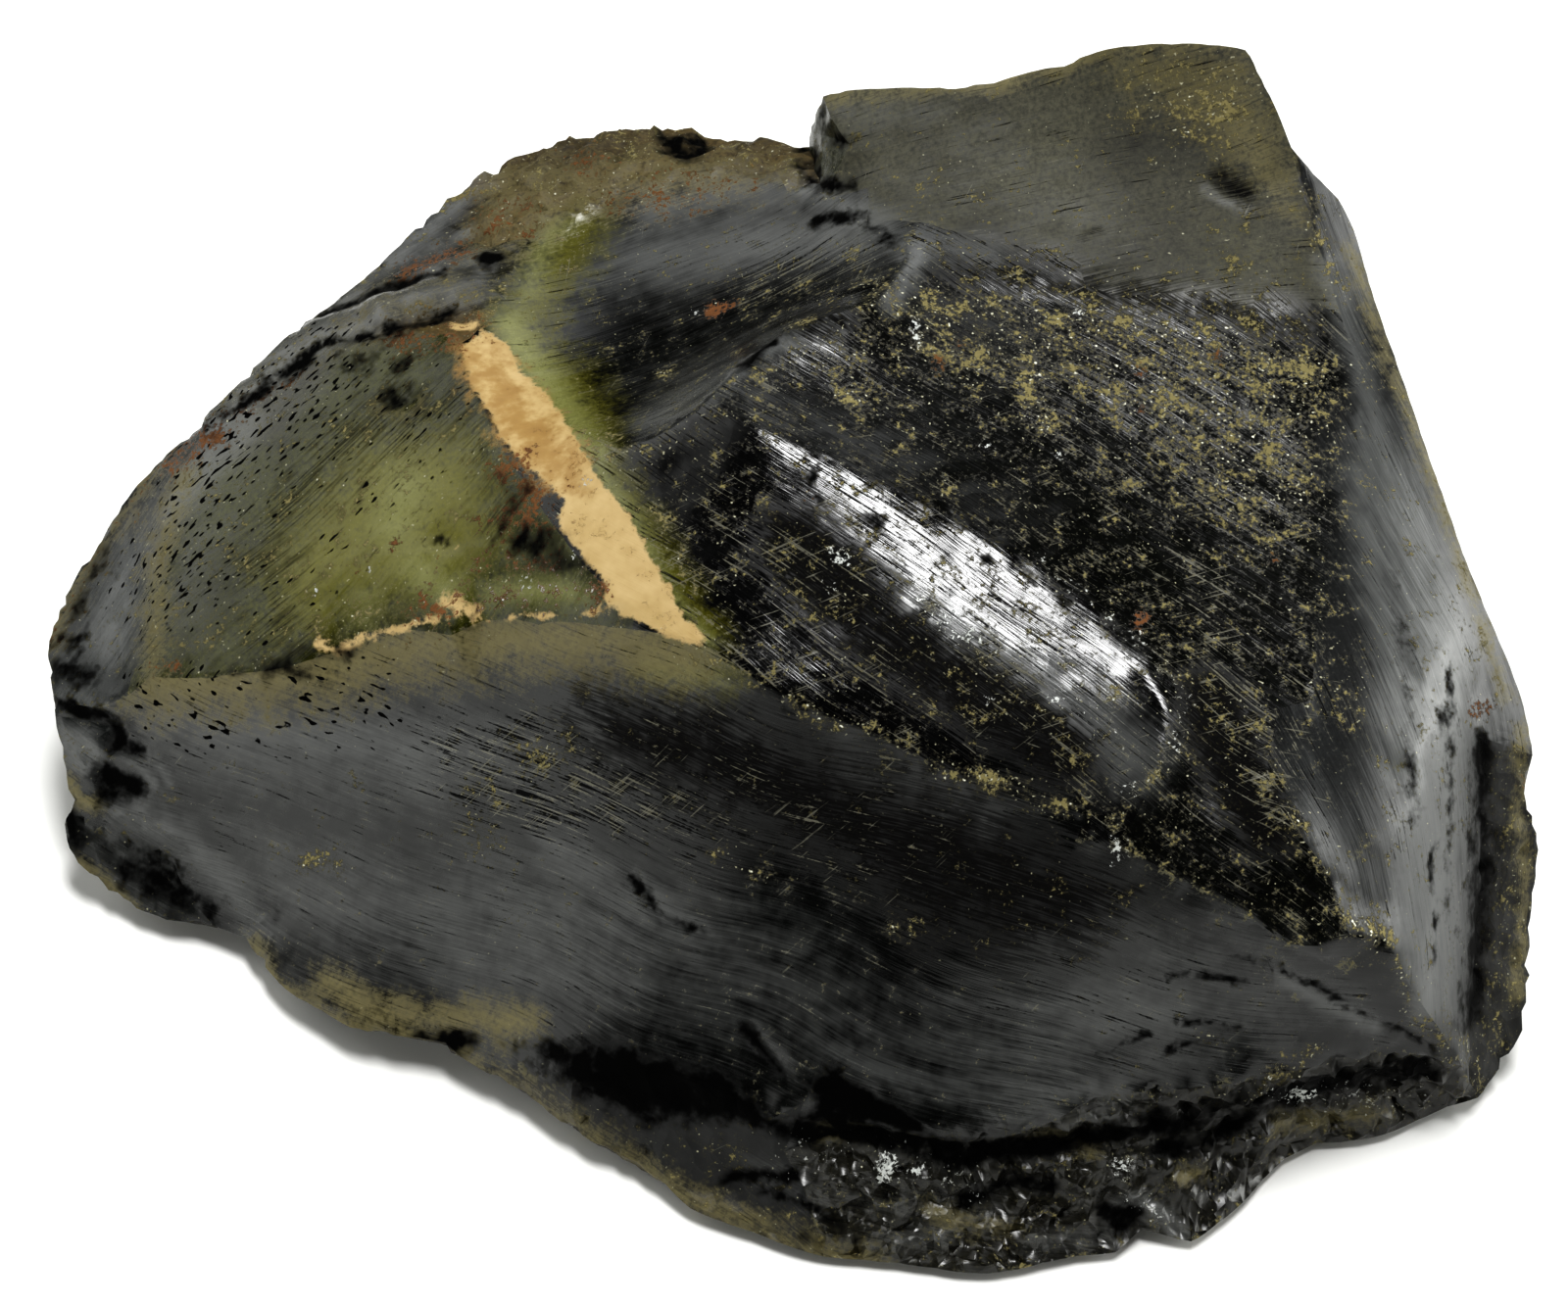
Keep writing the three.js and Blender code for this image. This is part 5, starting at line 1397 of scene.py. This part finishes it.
COATS = (
    # Films with a painted grey sheen, the colours of the glass itself, and scuffed glass with painted shade.
    Coat(
        Mark.BLOOM, ("#909190", "#595b59"), roughness=0.22, soft=0.5, depth=0.5,
        breaks={Pattern.BLOTCH: 0.8, Pattern.HAIR: 0.5, Pattern.FLOW: 0.4},
    ),
    Coat(
        Mark.RIND, ("#76731d", "#444212"), roughness=0.14, soft=0.5,
        breaks={Pattern.GRIT: 0.9, Pattern.BLOTCH: 1.2},
    ),
    Coat(
        Mark.PALE, ("#8a8b5a", "#70713e"), roughness=0.3, soft=0.5,
        breaks={Pattern.GRIT: 0.5, Pattern.BLOTCH: 0.4},
    ),
    Coat(
        Mark.BROWN, ("#8c8358", "#5a543a"), roughness=0.6, soft=0.45, depth=0.85,
        breaks={Pattern.GRIT: 1.0, Pattern.BLOTCH: 1.1, Pattern.HAIR: 0.6},
    ),
    Coat(
        Mark.SCUFF_AND_SHADE, ("#060505", "#0e0d0b"), roughness=1.0, soft=0.4, swallow=0.5,
        breaks={Pattern.BLOTCH: 0.8, Pattern.HAIR: 1.4},
    ),
    # Scratches, with painted shade in their groove and pale on their ground edge, and the rubbed ridges.
    Coat(
        Mark.SCRATCH, ("#040404", "#0a0a09"), roughness=0.8, soft=0.14, level=0.68, depth=0.9, swallow=0.8,
        breaks={Pattern.HAIR: -2.6, Pattern.GRIT: 1.0, Pattern.BLOTCH: 1.2},
    ),
    Coat(
        Mark.RIDGE, ("#7e7a60", "#524f3c"), roughness=0.7, soft=0.2, level=0.78, depth=0.75,
        breaks={Pattern.GRIT: 2.6, Pattern.BLOTCH: 1.8},
    ),
    Coat(
        Mark.SCRATCH, ("#8b8978", "#6c6a5e"), roughness=0.4, soft=0.16, level=0.84, depth=0.65,
        breaks={Pattern.HAIR: 2.6, Pattern.GRIT: 1.0, Pattern.BLOTCH: 1.2},
    ),
    Coat(
        Mark.SCRATCH, ("#8b8978", "#5c5a50"), roughness=0.4, soft=0.16, level=1.0, depth=0.6,
        breaks={Pattern.CROSS: 2.8, Pattern.BLOTCH: 1.8},
    ),
    # Dust: a grey film, tan clumps, and paler grains in them.
    Coat(
        Mark.DUST, ("#565034", "#2a281a"), roughness=1.0, soft=0.5, level=0.84, depth=0.85,
        breaks={Pattern.GRIT: 3.2, Pattern.BLOTCH: 2.0, Pattern.HAIR: 0.8},
    ),
    Coat(
        Mark.DUST, ("#a89e70", "#6c6543"), roughness=1.0, soft=0.24, level=1.08, depth=0.95, height=0.04,
        breaks={Pattern.GRIT: 3.9, Pattern.BLOTCH: 3.0},
    ),
    Coat(
        Mark.DUST, ("#bcb99c", "#7d7b66"), roughness=0.5, soft=0.2, level=1.9, depth=0.8,
        breaks={Pattern.SPARK: 5.0},
    ),
    # Devitrified glass and iron crust, opaque and matt.
    Coat(
        Mark.CREAM, ("#c6b084", "#a48a55"), roughness=0.5, soft=0.12,
        breaks={Pattern.GRIT: 0.5, Pattern.BLOTCH: 0.9},
    ),
    Coat(
        Mark.OCHRE, ("#ad9058", "#907040"), roughness=0.5, soft=0.4,
        breaks={Pattern.GRIT: 0.9, Pattern.BLOTCH: 1.8},
    ),
    Coat(
        Mark.RUST, ("#8a5a30", "#573c24"), roughness=1.0, soft=0.2, level=0.66, depth=0.95, height=0.05,
        breaks={Pattern.GRIT: 2.6, Pattern.BLOTCH: 1.6},
    ),
    # Painted shade: black in bubble pits, cracks and hollows, which send next to no light back.
    Coat(
        Mark.PIT, ("#040403", "#070705"), roughness=1.0, soft=0.1, level=1.3, height=-0.03, swallow=0.8,
        breaks={Pattern.PORE: 4.0, Pattern.GRIT: 0.8},
    ),
    Coat(
        Mark.DARK, ("#020202", "#050504"), roughness=0.7, soft=0.3, swallow=0.9,
        breaks={Pattern.BLOTCH: 1.3, Pattern.FLOW: 0.8, Pattern.GRIT: 0.4},
    ),
    # Painted glints: white sparkles in the dust, and white highlights on the glass.
    Coat(
        Mark.DUST, ("#f4f4ea", "#c0c0b0"), roughness=0.3, soft=0.14, level=2.02,
        breaks={Pattern.SPARK: 4.0},
    ),
    Coat(
        Mark.PAINTED_GLINT, ("#f0f2f0", "#a8aca6"), roughness=0.15, soft=0.14, level=0.76, height=0.03,
        breaks={Pattern.GRIT: 3.0, Pattern.BLOTCH: 0.8},
    ),
)


@dataclass
class Look:
    """What the shader takes so far, as outputs of nodes or plain values.

    Attributes:
        colour: Base colour.
        rough: Roughness.
        metal: Metallic.
        height: Height of the bump in millimetres.
    """

    colour: bpy.types.NodeSocket
    rough: bpy.types.NodeSocket
    metal: bpy.types.NodeSocket | float
    height: bpy.types.NodeSocket


@dataclass(frozen=True)
class SlagGlass:
    """Furnace slag glass, poured, chilled and broken by hand.

    Iron makes it near-black. To the eye it mirrors the room softly where a break is fresh, is satin
    where it is rubbed, and turns olive, cream, tan and rusty where it has weathered or devitrified.
    A black metal reflects next to nothing, so hollows, pits and the shadows of scratches are given
    a share of one: black glass would still mirror the room there and look grey.

    Attributes:
        name: Name of the material.
        ior: Index of refraction, that of common glass.
        swing: The part of a pattern's range that nearly all of it lies in.
        cloudy: Least and greatest strength of the tint in clouds.
        specked: Least and greatest strength of the tint in specks.
        hazed: How much roughness fine scratches add.
        onset: Share at which a coat is there at full depth, so that none shows where its share is 0.
        flake: Size of the flakes that rough breaks are made of, in millimetres.
        scored: Depth of the scratches in scratched glass, in millimetres.
        ripple: Depth of the finest flow lines in fresh glass, in millimetres.
        swell: Depth of the broad ripples along the grain, in millimetres.
    """

    name: str = "furnace slag glass, broken"
    ior: float = 1.52
    swing: Pair = (0.3, 0.7)
    cloudy: Pair = (0.6, 1.5)
    specked: Pair = (0.45, 1.55)
    hazed: float = 0.12
    onset: float = 0.15
    flake: float = 1.9
    scored: float = 0.02
    ripple: float = 0.008
    swell: float = 0.07

    def build(self) -> bpy.types.Material:
        """Make the material.

        Returns:
            The material, ready for the piece.
        """
        material = bpy.data.materials.new(self.name)
        material.use_nodes = True
        tree = material.node_tree
        tree.nodes.clear()
        fields = self.draw(tree)
        look = self.bare(tree, fields)
        for coat in COATS:
            look = self.lay(tree, coat, fields, look)
        raised = {"Height": look.height, "Strength": 1.0, "Distance": MM}
        bump = add(tree, "ShaderNodeBump", raised).outputs[0]
        shader = add(
            tree,
            "ShaderNodeBsdfPrincipled",
            {
                "Base Color": look.colour, "Roughness": look.rough, "Metallic": look.metal,
                "IOR": self.ior, "Normal": bump,
            },
        )
        add(tree, "ShaderNodeOutputMaterial", {"Surface": shader.outputs["BSDF"]})
        return material

    def draw(self, tree: bpy.types.NodeTree) -> dict[Pattern, bpy.types.NodeSocket]:
        """Draw the patterns.

        Args:
            tree: Tree of the material.

        Returns:
            The output of each pattern.
        """
        place = add(tree, "ShaderNodeTexCoord").outputs["Object"]
        grain = add(tree, "ShaderNodeAttribute", attribute_name="grain").outputs["Vector"]
        fields = {}
        for pattern, weave in WEAVES.items():
            laid, scale = place, 1 / (weave.size * MM)
            if weave.along:
                laid = grain
                if weave.turn_deg:
                    turn = {"Vector": grain, "Angle": math.radians(weave.turn_deg)}
                    laid = add(tree, "ShaderNodeVectorRotate", turn, rotation_type="Z_AXIS").outputs[0]
                sides = (scale, 1 / (weave.along * MM), 1 / (weave.along * MM))
                stretched = add(tree, "ShaderNodeVectorMath", {0: laid, 1: sides}, operation="MULTIPLY")
                laid, scale = stretched.outputs[0], 1.0
            fields[pattern] = add(
                tree, "ShaderNodeTexNoise",
                {"Vector": laid, "Scale": scale, "Detail": weave.detail, "Roughness": weave.rough},
            ).outputs["Fac"]
        return fields

    def bare(self, tree: bpy.types.NodeTree, fields: dict[Pattern, bpy.types.NodeSocket]) -> Look:
        """Colour and polish the bare glass, and raise its ripples, scratches and flakes.

        Args:
            tree: Tree of the material.
            fields: The patterns.

        Returns:
            The look of the glass with nothing on it.
        """
        low, high = self.swing
        shades = []
        for pattern, (least, greatest) in ((Pattern.CLOUD, self.cloudy), (Pattern.GRIT, self.specked)):
            graded = {"Value": fields[pattern], "From Min": low, "From Max": high}
            graded |= {"To Min": least, "To Max": greatest}
            shades.append(add(tree, "ShaderNodeMapRange", graded).outputs[0])
        shade = add(tree, "ShaderNodeMath", {0: shades[0], 1: shades[1]}, operation="MULTIPLY").outputs[0]
        tint, gloss, scratched, broken = (
            add(tree, "ShaderNodeAttribute", attribute_name=name).outputs[output]
            for name, output in (
                ("tint", "Color"), ("gloss", "Fac"), (Mark.SCRATCH.value, "Fac"), ("broken", "Fac"),
            )
        )
        colour = add(tree, "ShaderNodeVectorMath", {0: tint, "Scale": shade}, operation="SCALE").outputs[0]
        place = add(tree, "ShaderNodeTexCoord").outputs["Object"]
        flakes = add(tree, "ShaderNodeTexVoronoi", {"Vector": place, "Scale": 1 / (self.flake * MM)})
        hair, flow = fields[Pattern.HAIR], fields[Pattern.FLOW]
        rough, depth = (
            add(tree, "ShaderNodeMath", dict(enumerate(terms)), operation="MULTIPLY_ADD").outputs[0]
            for terms in ((hair, self.hazed, gloss), (scratched, self.scored, self.ripple))
        )
        height = add(tree, "ShaderNodeMath", {0: hair, 1: depth}, operation="MULTIPLY").outputs[0]
        for pattern, deep in ((flakes.outputs["Distance"], broken), (flow, self.swell)):
            height = add(
                tree, "ShaderNodeMath", {0: pattern, 1: deep, 2: height}, operation="MULTIPLY_ADD"
            ).outputs[0]
        return Look(colour, rough, 0.0, height)

    def lay(
        self, tree: bpy.types.NodeTree, coat: Coat, fields: dict[Pattern, bpy.types.NodeSocket], under: Look
    ) -> Look:
        """Lay a coat over what is there.

        Args:
            tree: Tree of the material.
            coat: The coat.
            fields: The patterns.
            under: The look of what lies under it.

        Returns:
            The look with the coat on.
        """
        mask = self.mask(tree, coat, fields)
        first, second = (linear(colour) for colour in coat.colours)
        blotched = {0: fields[Pattern.BLOTCH], 6: first, 7: second}
        paint = add(tree, "ShaderNodeMix", blotched, data_type="RGBA").outputs[2]
        colour = add(tree, "ShaderNodeMix", {0: mask, 6: under.colour, 7: paint}, data_type="RGBA").outputs[2]
        rough = add(tree, "ShaderNodeMix", {0: mask, 2: under.rough, 3: coat.roughness}).outputs[0]
        metal = add(tree, "ShaderNodeMix", {0: mask, 2: under.metal, 3: coat.swallow}).outputs[0]
        height = under.height
        if coat.height:
            raised = {0: mask, 1: coat.height, 2: height}
            height = add(tree, "ShaderNodeMath", raised, operation="MULTIPLY_ADD").outputs[0]
        return Look(colour, rough, metal, height)

    def mask(
        self, tree: bpy.types.NodeTree, coat: Coat, fields: dict[Pattern, bpy.types.NodeSocket]
    ) -> bpy.types.NodeSocket:
        """Work out where a coat shows.

        Args:
            tree: Tree of the material.
            coat: The coat.
            fields: The patterns.

        Returns:
            The output that is 1 where the coat shows and 0 where it doesn't.
        """
        level = add(tree, "ShaderNodeAttribute", attribute_name=coat.mark.value).outputs["Fac"]
        present = add(
            tree, "ShaderNodeMapRange", {"Value": level, "From Max": self.onset, "To Max": coat.depth}
        ).outputs[0]
        for pattern, weight in coat.breaks.items():
            centred = {0: fields[pattern], 1: weight, 2: -weight / 2}
            swing = add(tree, "ShaderNodeMath", centred, operation="MULTIPLY_ADD").outputs[0]
            level = add(tree, "ShaderNodeMath", {0: level, 1: swing}, operation="ADD").outputs[0]
        low, high = coat.level - coat.soft, coat.level + coat.soft
        graded = {"Value": level, "From Min": low, "From Max": high, "To Max": present}
        return add(tree, "ShaderNodeMapRange", graded, interpolation_type="SMOOTHSTEP").outputs[0]


def add(
    tree: bpy.types.NodeTree,
    kind: str,
    sockets: dict[str | int, object] | None = None,
    **settings: object,
) -> bpy.types.Node:
    """Add a node with its settings, values and links.

    Args:
        tree: Tree that the node goes into.
        kind: Blender's name for the node's type.
        sockets: Inputs by name or number, each a value or the output that feeds it.
        **settings: Properties of the node.

    Returns:
        The new node.
    """
    node = tree.nodes.new(kind)
    for key, value in settings.items():
        setattr(node, key, value)
    for key, value in (sockets or {}).items():
        if isinstance(value, bpy.types.NodeSocket):
            tree.links.new(value, node.inputs[key])
        else:
            node.inputs[key].default_value = value
    return node


# ---- The studio ----------------------------------------------------------------------------------


@dataclass(frozen=True)
class Lamp:
    """A soft lamp over the lump.

    Attributes:
        name: What the lamp is for.
        towards: Direction from the aim to the lamp.
        distance: How far off it hangs, in millimetres.
        size: Its width and height, in millimetres.
        radiance: How bright its surface is, where 1 is white paper in this light.
        aim: What it faces, in millimetres.
    """

    name: str
    towards: Spot
    distance: float
    size: Pair
    radiance: float
    aim: Spot = (0.0, 0.0, 20.0)

    def hang(self) -> bpy.types.Object:
        """Hang the lamp.

        Returns:
            The lamp's object.
        """
        data = bpy.data.lights.new(self.name, "AREA")
        data.shape = "RECTANGLE"
        data.size, data.size_y = (side * MM for side in self.size)
        data.energy = self.radiance * math.pi * data.size * data.size_y
        lamp = bpy.data.objects.new(self.name, data)
        bpy.context.scene.collection.objects.link(lamp)
        towards = Vector(self.towards).normalized()
        lamp.location = (Vector(self.aim) + towards * self.distance) * MM
        lamp.rotation_euler = towards.to_track_quat("Z", "Y").to_euler()
        return lamp


@dataclass(frozen=True)
class Glow:
    """A soft bright part of the room.

    Attributes:
        towards: Direction of its middle, from the lump.
        spread_deg: Angle from its middle to where it is spent.
        radiance: Brightness of its middle, where 1 is white paper in this light.
        colour: Its colour.
    """

    towards: Spot
    spread_deg: float
    radiance: float
    colour: str


@dataclass(frozen=True)
class Studio:
    """A pale floor, soft light round the lump, and the camera at the eye of the board.

    Attributes:
        floor_side: Side of the floor in millimetres.
        floor_colour: Colour of the floor.
        floor_roughness: Roughness of the floor, matt as uncoated paper is.
        floor_shine: Specular level of the floor, weak because paper scatters nearly all light.
        ceiling: Brightness of the room outside its glows.
        lamp: The lamp that the rolled edge mirrors.
        glows: The glows that the fresh breaks mirror.
        sight: Nearest and farthest that the camera sees, in metres.
        look: Blender's name for the contrast of the finished frame.
    """

    floor_side: float = 6000.0
    floor_colour: str = "#f4f4f2"
    floor_roughness: float = 0.9
    floor_shine: float = 0.1
    ceiling: float = 0.03
    lamp: Lamp = Lamp("strip over the streaked face", (0.09, 0.036, 0.99), 900.0, (420.0, 190.0), 22.0)
    glows: tuple[Glow, ...] = (
        Glow((-0.88, -0.45, 0.15), 34.0, 1.7, "#f7f8f4"),
        Glow((-0.12, -0.97, 0.2), 26.0, 1.4, "#f7f8f4"),
        Glow((0.96, 0.22, 0.16), 33.0, 6.0, "#f8f9f6"),
        Glow((-0.66, 0.38, 0.64), 34.0, 1.5, "#f8f9f6"),
        Glow((0.1, 0.72, 0.68), 20.0, 1.6, "#f4f6f6"),
    )
    sight: Pair = (0.01, 50.0)
    look: str = "High Contrast"

    def build(self) -> None:
        """Lay the floor, hang the lamp, light the room and set the camera."""
        self.lay_floor()
        self.lamp.hang()
        self.light_room()
        self.place_camera()

    def lay_floor(self) -> None:
        """Lay the pale floor that the lump rests on, matt white paper with no shine."""
        bpy.ops.object.select_all(action="DESELECT")
        bpy.ops.mesh.primitive_plane_add(size=self.floor_side * MM)
        floor = bpy.context.active_object
        floor.name = "floor"
        paper = bpy.data.materials.new("matt white paper")
        paper.use_nodes = True
        shader = paper.node_tree.nodes["Principled BSDF"]
        shader.inputs["Base Color"].default_value = linear(self.floor_colour)
        shader.inputs["Roughness"].default_value = self.floor_roughness
        shader.inputs["Specular IOR Level"].default_value = self.floor_shine
        floor.data.materials.append(paper)
        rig.stage(floor)

    def light_room(self) -> None:
        """Give the room its dim ceiling and its soft glows."""
        world = bpy.data.worlds.new("room")
        world.use_nodes = True
        bpy.context.scene.world = world
        tree = world.node_tree
        tree.nodes.clear()
        heading = add(tree, "ShaderNodeTexCoord").outputs["Generated"]
        light = (self.ceiling,) * 3
        for glow in self.glows:
            axis = Vector(glow.towards).normalized()
            near = add(tree, "ShaderNodeVectorMath", {0: heading, 1: axis}, operation="DOT_PRODUCT")
            spent = math.cos(math.radians(glow.spread_deg))
            graded = {"Value": near.outputs["Value"], "From Min": spent, "To Max": glow.radiance}
            shine = add(tree, "ShaderNodeMapRange", graded, interpolation_type="SMOOTHSTEP").outputs[0]
            terms = {0: linear(glow.colour)[:3], 1: shine, 2: light}
            light = add(tree, "ShaderNodeVectorMath", terms, operation="MULTIPLY_ADD").outputs[0]
        ground = add(tree, "ShaderNodeBackground", {"Color": light, "Strength": 1.0})
        add(tree, "ShaderNodeOutputWorld", {"Surface": ground.outputs["Background"]})

    def place_camera(self) -> None:
        """Put the camera at the eye of the board."""
        data = bpy.data.cameras.new("camera")
        data.lens = BOARD.lens
        data.clip_start, data.clip_end = self.sight
        camera = bpy.data.objects.new("camera", data)
        bpy.context.scene.collection.objects.link(camera)
        camera.location = BOARD.eye * MM
        camera.rotation_euler = (math.pi / 2 - BOARD.pitch, 0.0, 0.0)
        bpy.context.scene.camera = camera
        bpy.context.scene.view_settings.view_transform = "Standard"
        bpy.context.scene.view_settings.look = self.look


def main() -> None:
    """Build the lump, dress it and set the studio round it."""
    logging.basicConfig(level=logging.INFO, format="%(name)s: %(message)s")
    lump = Lump()
    piece = lump.build()
    piece.data.materials.append(SlagGlass().build())
    LOG.info("%s: %d faces", piece.name, len(piece.data.polygons))
    Studio().build()
    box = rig.bounds()
    with open("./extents.json", "w") as file:
        json.dump({"cad": [list(c) for c in CAD_BOX], "visual": [list(c) for c in box]}, file)


if __name__ == "__main__":
    main()
